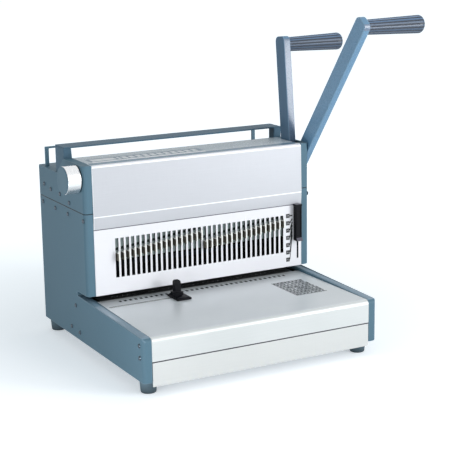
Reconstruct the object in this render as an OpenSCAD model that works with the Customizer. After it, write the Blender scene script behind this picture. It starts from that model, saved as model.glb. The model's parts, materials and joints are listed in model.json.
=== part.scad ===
// Desk machine that punches a row of holes and closes wire binding.
// X runs along the punch row, Y from front to back, Z up.
// The origin is under the middle of the front plate's face, on the underside of the base.

/* [Body] */
// Width of the front plates between the two side panels
plate_w = 350; // [320:1:380]
// Thickness of a side panel, its rim included
side_t = 13.5; // [12:0.5:18]
// Wall of the hollow side panels and end covers
panel_wall = 2.5; // [1.5:0.1:3]
// Radius of the upright outer edges of the side panels
edge_r = 6; // [3:0.5:9]
// Distance from the front plate's face to the front of the base
base_front = 188; // [160:1:220]
// Distance from the front plate's face to the back of the base
base_back = 183; // [165:1:205]
// Height of the top over the underside of the base
top_h = 268.5; // [255:0.5:290]
// Depth of the level top panel
top_d = 75; // [68:1:84]
// Depth of the slope behind the top
slope_d = 28; // [20:1:34]
// Drop from the top to the deck behind it
deck_drop = 24.5; // [18:0.5:28]
// Drop from the top to the seam between the end covers and the side panels
seam_drop = 70.5; // [62:0.5:78]
// Thickness of folded sheet
sheet_t = 2; // [1:0.1:2.5]
// Height of the feet
foot_h = 20; // [12:1:28]
// Diameter of the feet
foot_d = 25; // [18:1:28]
// Distance of the foot centres inside the side panels' inner faces
foot_inset = 4; // [2:0.5:10]
// Distance of the front foot centres from the front
foot_end = 24; // [18:1:30]
// Distance of the rear foot centres from the back
foot_rear = 14; // [14:0.5:20]
// Width of the pressed grooves in the base pan
pan_groove_w = 4; // [2:0.5:6]
// Depth of the pressed grooves in the base pan
pan_groove_d = 0.8; // [0.4:0.1:1]
// Gap between those grooves and the feet
pan_groove_gap = 2; // [1:0.5:6]

/* [Table] */
// Height of the paper table over the underside of the base
table_h = 63.5; // [57:0.5:70]
// How far the side panels stand above the table
table_lip = 5.5; // [3:0.5:6]
// Radius of the rolled front edge of the table
roll_r = 7; // [4:0.5:12]
// Height of the seam between the table's apron and the drawer
apron_low = 29; // [24:0.5:34]
// Distance of the guide groove from the front plate's face
groove_y = 27; // [24:0.5:40]
// Width of the guide groove
groove_w = 3; // [2.5:0.1:4]
// Distance of the guide groove's left end from the side panel
groove_inset = 9; // [6:1:12]
// Length of groove to the right of the edge guide's key
groove_spare = 4; // [2:0.5:10]

/* [Front plate] */
// Height of the throat between the table and the front plate
throat_h = 11.5; // [9:0.5:13]
// Depth of the throat
slit_d = 41; // [36:1:46]
// Height of the slotted front plate
plate_h = 98.5; // [88:0.5:110]
// Thickness of the slotted front plate
plate_t = 3; // [2:0.1:3.5]
// Least distance from the middle of an end slot to the side panel
row_margin = 35; // [34:0.5:50]
// Distance from slot to slot, three to the inch
slot_pitch = 8.467; // [8:0.001:9]
// Width of a slot
slot_w = 5.2; // [4:0.1:5.5]
// Length of a slot
slot_len = 59; // [56:0.5:66]
// Height of the slots' lower ends above the plate's lower edge
slot_up = 24; // [20:0.5:28]
// Height of the crease above the front cover's lower edge
crease_up = 19; // [15:0.5:23]
// How far the crease stands proud
crease_out = 1.5; // [0.5:0.1:1.8]
// Radius of the front cover's top edge
cover_r = 4; // [2.5:0.5:8]
// Depth of the front cover's return over the top
cover_return = 18; // [10:1:24]

/* [Hooks] */
// Height of the lowest hook arm above the slots' lower ends
hook_up = 37; // [33:0.5:41]
// Rise of a comb from its first hook to its last
hook_rise = 15; // [10:0.5:16]
// Thickness of a hook
hook_t = 2.4; // [1.5:0.1:3]
// Depth of a hook arm
hook_h = 11; // [8:0.5:12]
// How far the hooks stand out of the plate
hook_reach = 9; // [6:0.5:12]
// Thickness of the prong at the end of a hook
prong_t = 2.4; // [1.5:0.1:3]
// Height of the prong above its arm
prong_h = 4; // [2:0.5:5]
// Thickness of the hook combs
comb_t = 2; // [1.5:0.1:2.4]
// How far the comb strips lie inside the depth of their hooks
comb_rim = 1; // [0.5:0.1:2]
// Thickness of the carrier plate behind the combs
carrier_t = 2; // [1.5:0.1:2.4]
// Height of the carrier's lower edge above the slots' lower ends
carrier_up = 25.5; // [22:0.5:28]
// Height of the carrier plate
carrier_h = 58; // [50:1:64]
// Distance of the size slider's middle from the side panel
slider_inset = 9.5; // [8:0.5:12]
// Width of the size slider
slider_w = 13; // [10:0.5:15]
// Length of the size slider
slider_len = 58; // [50:1:64]
// How far the size slider reaches over the front cover
slider_over = 1.5; // [0:0.5:4]
// How far the size slider stands out of the plate
slider_out = 10; // [6:0.5:12]
// How far the toe of the size slider stands out of it
slider_toe = 3; // [2:0.5:5]
// Height of the toe of the size slider
slider_toe_h = 5; // [3:0.5:8]
// Distance of the slider's slot from the side panel
slider_slot_inset = 6.7; // [6:0.1:8]
// Width of the slot that the slider runs in
slider_slot_w = 3; // [2.5:0.1:3.5]
// Height of that slot's lower end above the plate's lower edge
slider_slot_up = 12; // [8:0.5:16]
// Height of the slider's stem
stem_h = 14; // [10:0.5:18]
// Distance of the stem below the front cover
stem_drop = 2; // [1:0.5:6]

/* [Levers] */
// Distance of the lever pivot behind the front plate's face
pivot_y = 41; // [38:0.5:45]
// Drop from the top to the lever pivot
pivot_drop = 40.5; // [37:0.5:44]
// Diameter of the main shaft
shaft_d = 18; // [14:0.5:20]
// Thickness of a lever
lever_t = 12; // [10:0.5:13]
// Width of a lever
lever_w = 26; // [23:0.5:29]
// Corner radius at the top of a lever
lever_end_r = 8; // [4:0.5:10]
// Gap between the punch lever and the end cover
lever_gap = 1; // [0.5:0.1:2]
// Distance from the pivot to the grip of the punch lever
punch_len = 285; // [250:1:320]
// Forward lean of the punch lever at rest
punch_tilt = 37.6; // [34:0.1:42]
// Swing of the punch lever
punch_swing = 60; // [52:1:66]
// Distance from the pivot to the grip of the closer lever
closer_len = 189; // [165:1:212]
// Backward lean of the closer lever at rest
closer_lean = 5.6; // [4:0.1:7]
// Swing of the closer lever
closer_swing = 28; // [24:1:31]
// Diameter of the closer lever's pin
closer_pin_d = 5; // [4:0.5:6]
// Length of a grip
grip_len = 99; // [80:1:112]
// Diameter of a grip beside its lever
grip_root_d = 22; // [19:0.5:24]
// Diameter of a grip at its free end
grip_tip_d = 27; // [25:0.5:31]
// Rounding of the free end of a grip
grip_round = 6; // [3:0.5:8]
// Number of flutes along a grip
flutes = 16; // [8:1:20]
// Radius of a flute
flute_r = 1.1; // [0.6:0.1:1.4]
// Plain length of a grip before its flutes start
flute_start = 4; // [2:0.5:8]
// Diameter of the stud that a grip sits on
stud_d = 10; // [8:0.5:12]
// Thickness of the nut on the main shaft
nut_t = 6; // [4:0.5:8]
// How far the nut is wider than the shaft
nut_rim = 4; // [3:0.5:6]

/* [Punch] */
// Diameter of a punch pin
pin_d = 4; // [3:0.1:4.5]
// Distance of the punch row behind the front plate's face
pin_y = 22; // [20:0.5:24]
// How far the punch pins wait above the throat
pin_rest = 1; // [0.5:0.1:2]
// Length of the pins between their guide and the beam
pin_free = 25; // [22:0.5:28]
// Travel of the punch beam
punch_travel = 17; // [15:0.5:19]
// Front of the die and the punch guide behind the front plate's face
die_front = 10; // [9:0.5:11]
// Thickness of the die
die_t = 18; // [14:0.5:21]
// Thickness of the punch guide
guide_t = 20; // [16:0.5:23]
// Thickness of the paper stop
stop_t = 3; // [2:0.5:5]
// Front of the punch beam behind the front plate's face
beam_front = 12; // [11:0.5:13]
// Gap between the punch beam and the line of the main shaft
beam_gap = 2; // [1:0.5:3]
// Height of the punch beam
beam_h = 25; // [20:0.5:28]
// Outer face of the cranks on the main shaft
crank_x = 130; // [115:1:145]
// Thickness of a crank
crank_t = 8; // [6:0.5:10]
// Diameter of a crank pin
crank_pin_d = 8; // [6:0.5:9]
// Wall of a crank round the shaft
crank_wall = 5; // [3:0.5:6]
// Wall of a crank round its pin
boss_wall = 3; // [2:0.5:4]
// Thickness of the plates that the crank pins drive
yoke_t = 6; // [4:0.5:8]

/* [Inner frame] */
// Thickness of a frame
frame_t = 5; // [4:0.5:6]
// Front edge of the frames behind the front plate's face
frame_front = 12; // [11:0.5:13]
// Gap between the frames and the back of the machine
frame_gap = 8; // [5:0.5:12]
// Gap between the frames and the top
frame_top_gap = 10; // [6:0.5:11]
// Gap between the frames' step and the deck's front
frame_step_gap = 8; // [4:0.5:12]
// Run of the frames' slope
frame_slope = 20; // [16:0.5:24]
// Outside diameter of the shaft bushes
bush_d = 26; // [23:0.5:29]
// Thickness of the bushes' flanges
flange_t = 3; // [2:0.5:4]
// Rim of the bushes' flanges
flange_rim = 3; // [2:0.5:4]
// Diameter of the tie bars between the frames
tie_d = 14; // [10:0.5:16]

/* [Closer] */
// Gap between the level top and the closer rail
rail_gap = 4; // [4:0.5:6]
// How far the closer rail reaches over the deck
rail_over = 10; // [8:0.5:13]
// Height of the closer rail's upper face over the deck
rail_up = 40.6; // [40:0.1:46]
// Thickness of the closer rail
rail_t = 5; // [4:0.5:6]
// Width of a closer post at its top
post_w = 12; // [9:0.5:13]
// Diameter of the closer rods
rod_d = 8; // [6:0.5:9]
// Wall beside the closer rods
rod_wall = 2.5; // [2:0.1:3]
// Wall in front of and behind the closer rods
rod_guide_wall = 5; // [4:0.5:6]
// Height of the closer rods' guides
rod_guide_h = 14; // [10:0.5:16]
// Gap between the guides and the posts at the end of their travel
rod_guide_gap = 6; // [4:0.5:8]
// Travel of the closer rail
closer_travel = 13; // [11:0.5:13.5]
// Thickness of the side plate that drives the closer rail
drive_t = 2; // [1.5:0.1:2.4]
// Height of the level bar of that plate
drive_bar_h = 12; // [10:0.5:14]
// Gap between that bar and the guides
drive_gap = 2; // [1:0.5:4]
// Rim of that plate round the slot for the lever's pin
drive_rim = 4; // [3:0.5:5]
// Height of the bed under the closer rail
bed_h = 12; // [8:0.5:14]
// Gap between the bed and the closer posts
bed_gap = 4.5; // [2:0.5:10]
// Radius of the wire groove in the bed
bed_groove_r = 3; // [2:0.5:3.5]
// Distance of the rear rest from the back
rest_back = 22; // [16:0.5:26]
// Distance of the rear rest's ends from the end covers' outer walls
rest_inset = 2; // [1:0.5:4]
// Height of the rear rest above the deck
rest_h = 30; // [24:0.5:34]
// Width of the legs of the rear rest
rest_leg = 6; // [4:0.5:7]
// Thickness of the rear rest's strip
rest_t = 3; // [2:0.1:4]

/* [Knob] */
// Distance of the size knob behind the front plate's face
knob_y = 22; // [20:0.5:24]
// Drop from the top to the size knob's middle
knob_drop = 21.5; // [19:0.5:24]
// Diameter of the size knob
knob_d = 41; // [34:0.5:46]
// Length of the size knob
knob_len = 22.5; // [18:0.5:26]
// Wall of the size knob's sleeve
knob_wall = 2.5; // [1.5:0.1:4]
// How far the cap stands out of the sleeve
cap_out = 1; // [0.5:0.1:2]
// How far the shaft stops short of the sleeve's end
knob_shaft_in = 6; // [4:0.5:8]
// Diameter of the size knob's shaft
knob_shaft_d = 8; // [6:0.5:9]
// Radius of the stop cam inside
cam_r = 8; // [7:0.5:9]
// Offset of the stop cam from the knob's axis
cam_offset = 2; // [1:0.5:2.5]
// Width of the stop cam
cam_w = 8; // [6:0.5:10]

/* [Edge guide] */
// Middle of the edge guide, measured to the left of the middle
guide_x = 52; // [46:0.5:58]
// Width of the edge guide's foot
guide_w = 31; // [26:0.5:34]
// Depth of the edge guide's foot
guide_d = 35; // [30:0.5:38]
// How far the foot reaches less behind the groove than in front of it
guide_lead = 5; // [3:0.5:8]
// Thickness of the edge guide's foot
guide_foot = 4; // [3:0.5:5]
// Height of the edge guide over the table
guide_h = 26.5; // [20:0.5:30]
// Width and depth of the edge guide's post
guide_post = 11; // [8:0.5:12]
// Length of the key in the groove
key_len = 16; // [12:0.5:20]
// Thickness of the clamp plate under the table
clamp_t = 3; // [2:0.5:4]
// Width of the clamp plate
clamp_w = 20; // [18:0.5:24]
// Depth of the clamp plate
clamp_d = 12; // [10:0.5:16]

/* [Drawer] */
// Gap between the drawer's tray and the frames
tray_gap = 5; // [1:0.5:20]
// Depth of the tray behind the front plate's face
tray_back = 60; // [45:1:70]
// Wall of the tray
tray_wall = 1.5; // [1:0.1:2]
// How far the drawer's front hangs below the base
drawer_hang = 6; // [4:0.5:8]
// Drop of the tray's rim below the drawer's front
tray_drop = 1; // [0.5:0.1:3]

/* [Fasteners] */
// Diameter of the screw heads
screw_d = 6.5; // [5:0.1:7]
// Height of the screw heads
screw_h = 1.6; // [1:0.1:2]
// Width of the slot in the screw heads
screw_slot = 1; // [0.6:0.1:1.2]
// Distance of the back panel's screws from its ends
back_screw_inset = 12; // [8:0.5:16]

/* [Fits] */
// Gap beside sliding faces
slide_gap = 0.3; // [0.2:0.05:0.4]
// Radial clearance of a turning shaft
run_gap = 0.05; // [0.02:0.01:0.1]
// Clearance of an opening round a moving piece
free_gap = 0.5; // [0.4:0.1:0.8]

/* [Hidden] */
$fn = 64;
// How far a cutting solid runs past the face that it cuts
cut = 1;
half_w = plate_w / 2;
outer_x = half_w + side_t;
inner_wall_x = outer_x - panel_wall;

// Heights, from the base up
side_top = table_h + table_lip;
plate_low = table_h + throat_h;
slot_low = plate_low + slot_up;
cover_low = plate_low + plate_h;
crease_h = cover_low + crease_up;
seam_h = top_h - seam_drop;
pivot_h = top_h - pivot_drop;
deck_h = top_h - deck_drop;
knob_h = top_h - knob_drop;

// Depths, from the front plate's face back
die_back = slit_d - cut;
stop_back = die_back + stop_t;
beam_back = pivot_y - shaft_d / 2 - beam_gap;
deck_front = top_d + slope_d;
rail_front = top_d + rail_gap;
rail_rear = deck_front + rail_over;
rail_y = (rail_front + rail_rear) / 2;
rest_y = base_back - rest_back;
frame_back = base_back - frame_gap;
tie_y = frame_back - tie_d;

// Across, from the end cover's wall in: closer lever, drive plate, frame, tray
punch_x = outer_x + lever_gap;
shaft_end = punch_x + lever_t;
closer_x = inner_wall_x - 2 * free_gap - lever_t;
drive_x = closer_x - free_gap - drive_t;
frame_out = drive_x - free_gap;
frame_x = frame_out - frame_t;
tray_x = frame_x - tray_gap;
foot_x = half_w - foot_inset;
pan_groove_x = foot_x - foot_d / 2 - pan_groove_gap - pan_groove_w;

// Hook slide: comb strips stand behind the plate and the carrier behind them
comb_y = plate_t + slide_gap;
carrier_y = comb_y + comb_t;
carrier_low = slot_low + carrier_up;
hook_low = slot_low + hook_up;
hooks_per_comb = floor((half_w - row_margin) / slot_pitch + 0.5);
slot_count = 2 * hooks_per_comb;
function slot_x(i) = (i - (slot_count - 1) / 2) * slot_pitch;
comb_span = (hooks_per_comb - 1) * slot_pitch;
comb_slope = atan(hook_rise / comb_span);
slider_x = half_w - slider_inset;
slider_slot_x = half_w - slider_slot_inset;
slider_top = cover_low + slider_over;
stem_top = cover_low - stem_drop;

// Opening in the top for the closer lever, from the lever's lean at both ends of its swing
closer_tilt = -closer_lean;
closer_end_tilt = closer_swing - closer_lean;
function lean_y(tilt) = pivot_y - pivot_drop * tan(tilt);
lever_slot_back = lean_y(closer_tilt) + lever_w / 2 / cos(closer_tilt) + free_gap;
lever_slot_front = lean_y(closer_end_tilt) - lever_w / 2 / cos(closer_end_tilt) - free_gap;

// Crank pins swing equally above and below the level of the shaft
beam_low = plate_low + guide_t + pin_free;
crank_r = punch_travel / (2 * sin(punch_swing / 2));
crank_pin_y = pivot_y - crank_r * cos(punch_swing / 2);
crank_pin_h = pivot_h + punch_travel / 2;
closer_arm_r = closer_travel / (2 * sin(closer_swing / 2));
closer_pin_y = pivot_y - closer_arm_r * cos(closer_swing / 2);
closer_pin_h = pivot_h + closer_travel / 2;

// Heights of the moving closer and of its guides
rail_top = deck_h + rail_up;
rail_low = rail_top - rail_t;
post_low = deck_h - sheet_t - free_gap;
post_out = inner_wall_x - free_gap;
post_in = frame_out + free_gap;
bed_x = post_in - bed_gap;
rod_x = inner_wall_x - 3 * free_gap - rod_wall - rod_d / 2;
rod_guide_low = post_low - closer_travel - rod_guide_gap - rod_guide_h;
drive_top = rod_guide_low - drive_gap;
drive_low = drive_top - drive_bar_h;
rest_x = inner_wall_x - rest_inset;

// Frames: high under the top, lower under the deck
frame_high = top_h - frame_top_gap;
frame_step_y = deck_front - frame_step_gap;
frame_rear_h = rod_guide_low + rod_guide_h;

// Drawer, between the base pan and the apron, and the edge guide on the table
drawer_top = apron_low - free_gap;
tray_low = sheet_t + slide_gap;
tray_top = drawer_top - tray_drop;
guide_foot_low = table_h + slide_gap;
clamp_top = table_h - sheet_t - slide_gap;
groove_left = half_w - groove_inset;
groove_right = guide_x - key_len / 2 - groove_spare;

// Places of the screw heads: from the back and the seam, from the front and the base, from the slit
seam_screws = [[26, 20], [53, 16], [90, 15], [126, 8], [18, -9], [69, -10], [119, -10], [178, -10]];
front_screws = [[11, 52], [10, 35]];
slit_screws = [[6, 52], [-6, 13], [25, 15]];
back_screws_z = [20, 120, 220];

slate = "#5f7884";
silver = "#dcdfe4";
steel = "#a9afb5";
black = "#22252b";

// An outline drawn in Y and Z, extruded along X from x0 to x1
module along_x(x0, x1) {
    translate([x0, 0, 0]) rotate([90, 0, 90]) linear_extrude(x1 - x0) children();
}

// An outline drawn in X and Y, extruded upwards from z0 to z1
module along_z(z0, z1) {
    translate([0, 0, z0]) linear_extrude(z1 - z0) children();
}

// A box between two corners
module box(low, high) {
    translate(low) cube(high - low);
}

// A round bar along X, on the axis at y and z
module bar_x(x0, x1, y, z, d) {
    translate([x0, y, z]) rotate([0, 90, 0]) cylinder(h = x1 - x0, d = d);
}

module on_left() {
    mirror([1, 0, 0]) children();
}

// Plan of a right-hand side wall, with its two outer corners rounded
module side_plan(y0, y1) {
    difference() {
        translate([half_w, y0]) square([side_t, y1 - y0]);
        for (y = [y0, y1])
            translate([outer_x - edge_r, y == y0 ? y0 - cut : y1 - edge_r])
                square([edge_r + cut, edge_r + cut]);
    }
    for (y = [y0 + edge_r, y1 - edge_r])
        translate([outer_x - edge_r, y]) circle(r = edge_r);
}

// Foot of the side panel seen from the side, with its rounded front corner
module base_outline() {
    difference() {
        translate([-base_front, 0]) square([base_front + slit_d, side_top]);
        translate([-base_front - cut, side_top - roll_r]) square([roll_r + cut, roll_r + cut]);
    }
    translate([roll_r - base_front, side_top - roll_r]) circle(r = roll_r);
}

// Room inside a side panel, open at the top and towards the frame
module panel_hollow() {
    w = panel_wall;
    translate([w, plate_low + w]) square([base_back - 2 * w, seam_h - plate_low]);
    translate([w - base_front, w]) square([base_front + base_back - 2 * w, table_h - sheet_t - w]);
    translate([slit_d + w, w]) square([base_back - slit_d - 2 * w, seam_h]);
}

// Right-hand side panel: the upright, the foot under the table, and the throat slit
module panel() {
    difference() {
        union() {
            along_z(0, seam_h) side_plan(0, base_back);
            intersection() {
                along_z(0, side_top) side_plan(-base_front, slit_d);
                along_x(half_w, outer_x) base_outline();
            }
        }
        box([half_w - cut, -edge_r, side_top], [outer_x + cut, slit_d, plate_low]);
        along_x(half_w - cut, inner_wall_x) panel_hollow();
    }
}

module side_panel_left() color(slate) on_left() panel();

module side_panel_right() color(slate) panel();

// Outline of an end cover, drawn in by w along its front, top and back
module cover_outline(w) {
    polygon([[w, seam_h - w], [base_back - w, seam_h - w], [base_back - w, deck_h - w],
        [deck_front - w / 2, deck_h - w], [top_d - w / 2, top_h - w], [w, top_h - w]]);
}

// Opening in the top for the closer lever
module lever_slot() {
    box([closer_x - free_gap, lever_slot_front, pivot_h + lever_w],
        [closer_x + lever_t + free_gap, lever_slot_back, top_h + cut]);
}

// Opening in the slope and the deck for a closer post
module post_slot() {
    box([post_in - free_gap, rail_front - free_gap, post_low],
        [post_out + free_gap, rail_rear + free_gap, top_h + cut]);
}

// Right-hand end cover, open below and towards the frame
module cover_shell() {
    difference() {
        intersection() {
            along_x(half_w, outer_x) cover_outline(0);
            along_z(seam_h, top_h) side_plan(0, base_back);
        }
        along_x(half_w - cut, inner_wall_x) cover_outline(panel_wall);
        post_slot();
    }
}

module end_cover_left() {
    color(slate) difference() {
        on_left() cover_shell();
        bar_x(-outer_x - cut, -half_w, knob_y, knob_h, knob_shaft_d + 2 * run_gap);
    }
}

module end_cover_right() {
    color(slate) difference() {
        cover_shell();
        lever_slot();
        bar_x(half_w, outer_x + cut, pivot_y, pivot_h, shaft_d + 2 * free_gap);
    }
}

// Folded sheet over the upper front, creased above the seam and turned back over the top
module front_cover() {
    color(silver) difference() {
        along_x(-half_w, half_w) {
            polygon([[0, cover_low], [sheet_t, cover_low], [sheet_t - crease_out, crease_h],
                [sheet_t, top_h - cover_r], [0, top_h - cover_r], [-crease_out, crease_h]]);
            translate([cover_r, top_h - cover_r]) intersection() {
                difference() {
                    circle(r = cover_r);
                    circle(r = cover_r - sheet_t);
                }
                translate([-cover_r, 0]) square(cover_r);
            }
            translate([cover_r, top_h - sheet_t]) square([cover_return - cover_r, sheet_t]);
        }
        lever_slot();
    }
}

module front_plate() {
    color(silver) difference() {
        box([-half_w, 0, plate_low], [half_w, plate_t, cover_low]);
        for (i = [0 : slot_count - 1])
            translate([slot_x(i) - slot_w / 2, -cut, slot_low]) cube([slot_w, plate_t + 2 * cut, slot_len]);
        box([slider_slot_x - slider_slot_w / 2, -cut, plate_low + slider_slot_up],
            [slider_slot_x + slider_slot_w / 2, plate_t + cut, cover_low - cut]);
    }
}

module top_panel() {
    color(slate) difference() {
        box([-half_w, cover_return, top_h - sheet_t], [half_w, top_d - sheet_t / 2, top_h]);
        lever_slot();
    }
}

// Slope behind the top and the level deck that carries the closer's bed
module rear_deck() {
    color(slate) difference() {
        along_x(-half_w, half_w)
            polygon([[top_d - sheet_t / 2, top_h], [top_d, top_h], [deck_front, deck_h], [base_back, deck_h],
                [base_back, deck_h - sheet_t], [deck_front - sheet_t / 2, deck_h - sheet_t],
                [top_d - sheet_t / 2, top_h - sheet_t]]);
        post_slot();
        on_left() post_slot();
    }
}

module back_panel() {
    color(slate) box([-half_w, base_back - sheet_t, 0], [half_w, base_back, deck_h - sheet_t]);
}

// Flat pan with a pressed groove along each end, inside the feet
module base_pan() {
    color(slate) difference() {
        box([-half_w, roll_r - base_front, 0], [half_w, base_back - sheet_t, sheet_t]);
        for (x = [-pan_groove_x - pan_groove_w, pan_groove_x])
            box([x, -base_front, -cut], [x + pan_groove_w, base_back, pan_groove_d]);
    }
}

// Sheet table with a rolled front edge and an apron down to the drawer
module table() {
    color("#c3c9cf") difference() {
        along_x(-half_w, half_w) {
            translate([roll_r - base_front, table_h - sheet_t])
                square([base_front - roll_r + die_front, sheet_t]);
            translate([roll_r - base_front, table_h - roll_r]) intersection() {
                difference() {
                    circle(r = roll_r);
                    circle(r = roll_r - sheet_t);
                }
                translate([-roll_r, 0]) square(roll_r);
            }
            translate([-base_front, apron_low]) square([sheet_t, table_h - roll_r - apron_low]);
        }
        box([-groove_left, -groove_y - groove_w / 2, apron_low],
            [-groove_right, -groove_y + groove_w / 2, table_h + cut]);
    }
}

// A row of holes for the punch pins
module pin_holes(z0, z1) {
    for (i = [0 : slot_count - 1])
        translate([slot_x(i), pin_y, z0]) cylinder(h = z1 - z0, d = pin_d + 2 * run_gap);
}

module die_block() {
    color(steel) difference() {
        box([-frame_x, die_front, table_h - die_t], [frame_x, die_back, table_h]);
        pin_holes(table_h - die_t - cut, table_h + cut);
    }
}

module punch_guide() {
    color(steel) difference() {
        box([-frame_x, die_front, plate_low], [frame_x, die_back, plate_low + guide_t]);
        pin_holes(plate_low - cut, plate_low + guide_t + cut);
    }
}

// Stop for the paper's edge at the back of the throat
module paper_stop() {
    color(steel) box([-frame_x, die_back, table_h - die_t / 2],
        [frame_x, stop_back, plate_low + guide_t / 2]);
}

// Right-hand inner frame with its throat notch and its bush seat
module frame() {
    difference() {
        along_x(frame_x, frame_out)
            polygon([[frame_front, sheet_t], [frame_back, sheet_t], [frame_back, frame_rear_h],
                [frame_step_y, frame_rear_h], [frame_step_y, pivot_h],
                [frame_step_y - frame_slope, frame_high], [frame_front, frame_high]]);
        box([frame_x - cut, frame_front - cut, table_h], [frame_out + cut, stop_back, plate_low]);
        bar_x(frame_x - cut, frame_out + cut, pivot_y, pivot_h, bush_d);
    }
}

module frame_left() {
    color(steel) difference() {
        on_left() frame();
        bar_x(-frame_out - cut, -frame_x + cut, knob_y, knob_h, knob_shaft_d + 2 * run_gap);
    }
}

module frame_right() color(steel) frame();

module tie_bars() {
    color(steel) for (z = [table_h, frame_rear_h - tie_d])
        bar_x(-frame_x, frame_x, tie_y, z, tie_d);
}

// Flanged bush in a frame
module bush() {
    difference() {
        union() {
            bar_x(frame_x, frame_out, pivot_y, pivot_h, bush_d);
            bar_x(frame_x - flange_t, frame_x, pivot_y, pivot_h, bush_d + 2 * flange_rim);
        }
        bar_x(frame_x - flange_t - cut, frame_out + cut, pivot_y, pivot_h, shaft_d + 2 * run_gap);
    }
}

module shaft_bushes() {
    color("#b08d4a") {
        bush();
        on_left() bush();
    }
}

// Bed under the closer rail, with a groove that holds the wire
module closer_bed() {
    color(steel) difference() {
        box([-bed_x, deck_front, deck_h], [bed_x, rail_rear, deck_h + bed_h]);
        bar_x(-bed_x - cut, bed_x + cut, deck_front + rail_over / 2, deck_h + bed_h, 2 * bed_groove_r);
    }
}

// Strip frame that stands on the deck behind the closer
module rear_rest() {
    color(slate) difference() {
        box([-rest_x, rest_y - rest_t / 2, deck_h], [rest_x, rest_y + rest_t / 2, deck_h + rest_h]);
        box([rest_leg - rest_x, rest_y - rest_t, deck_h - cut],
            [rest_x - rest_leg, rest_y + rest_t, deck_h + rest_h - rest_t]);
    }
}

// Block on the frame that guides a closer rod
module rod_guide() {
    difference() {
        box([frame_out, rail_y - rod_d / 2 - rod_guide_wall, rod_guide_low],
            [rod_x + rod_d / 2 + rod_wall, rail_y + rod_d / 2 + rod_guide_wall, frame_rear_h]);
        translate([rod_x, rail_y, rod_guide_low - cut])
            cylinder(h = rod_guide_h + 2 * cut, d = rod_d + 2 * run_gap);
    }
}

module rod_guides() {
    color(steel) {
        rod_guide();
        on_left() rod_guide();
    }
}

// Rubber foot, drawn in towards the floor
module foot(side, y) {
    r = foot_d / 2;
    color(black) translate([side * foot_x, y, -foot_h]) rotate_extrude()
        polygon([[0, 0], [0.8 * r, 0], [0.92 * r, 0.08 * foot_h], [r, foot_h], [0, foot_h]]);
}

module foot_front_left() foot(-1, foot_end - base_front);

module foot_front_right() foot(1, foot_end - base_front);

module foot_rear_left() foot(-1, base_back - foot_rear);

module foot_rear_right() foot(1, base_back - foot_rear);

// Domed screw head on a face at z = 0, with a driver slot
module screw_head() {
    difference() {
        rotate_extrude() polygon([[0, 0], [screw_d / 2, 0], [screw_d / 2, screw_h / 3],
            [screw_d / 3, screw_h], [0, screw_h]]);
        translate([-screw_d, -screw_slot / 2, screw_h / 2]) cube([2 * screw_d, screw_slot, screw_h]);
    }
}

module side_screws() {
    places = concat([for (p = seam_screws) [base_back - p[0], seam_h + p[1]]],
        [for (p = front_screws) [p[0] - base_front, p[1]]],
        [for (p = slit_screws) [slit_d + p[0], p[1]]]);
    color("#c8ccd0") for (p = places, side = [-1, 1])
        translate([side * outer_x, p[0], p[1]]) rotate([0, side * 90, 0]) screw_head();
}

module back_screws() {
    color("#c8ccd0") for (z = back_screws_z, side = [-1, 1])
        translate([side * (half_w - back_screw_inset), base_back, z]) rotate([-90, 0, 0]) screw_head();
}

// Side view of a lever, upright, with the pivot at the origin
module lever_outline(len) {
    top = len + lever_w / 2;
    circle(d = lever_w);
    translate([-lever_w / 2, 0]) square([lever_w, top - lever_end_r]);
    translate([lever_end_r - lever_w / 2, 0]) square([lever_w - 2 * lever_end_r, top]);
    for (y = [-1, 1])
        translate([y * (lever_w / 2 - lever_end_r), top - lever_end_r]) circle(r = lever_end_r);
}

// Places children, drawn upright about the pivot, at a lever's lean
module at_pivot(tilt) {
    translate([0, pivot_y, pivot_h]) rotate([tilt, 0, 0]) children();
}

// Stud on a lever's outer face, which its grip is pushed over
module stud(x, len) {
    bar_x(x + lever_t, x + lever_t + grip_len - 2 * grip_round, 0, len, stud_d);
}

// Tapered, fluted grip along X, pushed over the stud
module grip(x, len) {
    root = grip_root_d / 2;
    tip = grip_tip_d / 2;
    shoulder = grip_len - grip_round;
    bore = grip_len - 2 * grip_round + cut;
    translate([x + lever_t, 0, len]) difference() {
        rotate([90, 0, 90]) rotate_extrude() {
            polygon([[0, 0], [root, 0], [tip, shoulder], [tip - grip_round, shoulder],
                [tip - grip_round, grip_len], [0, grip_len]]);
            translate([tip - grip_round, shoulder]) intersection() {
                circle(r = grip_round);
                square(grip_round);
            }
        }
        bar_x(-cut, bore, 0, 0, stud_d + 2 * run_gap);
        for (i = [0 : flutes - 1])
            rotate([i * 360 / flutes, 0, 0]) translate([0, 0, root + flute_r / 2])
                rotate([0, 90 - atan((tip - root) / shoulder), 0])
                    translate([0, 0, flute_start])
                        cylinder(h = grip_len - 2 * grip_round - flute_start, r = flute_r, $fn = 16);
    }
}

module punch_lever() {
    color(slate) at_pivot(punch_tilt) difference() {
        union() {
            along_x(punch_x, punch_x + lever_t) lever_outline(punch_len);
            stud(punch_x, punch_len);
        }
        bar_x(punch_x - cut, punch_x + lever_t + cut, 0, 0, shaft_d + 2 * run_gap);
    }
}

module punch_grip() color(black) at_pivot(punch_tilt) grip(punch_x, punch_len);

module lever_nut() {
    color(steel) translate([shaft_end, pivot_y, pivot_h]) rotate([0, 90, 0])
        cylinder(h = nut_t, d = shaft_d + nut_rim, $fn = 6);
}

module main_shaft() color(steel) bar_x(-frame_out - drive_t, shaft_end, pivot_y, pivot_h, shaft_d);

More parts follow.
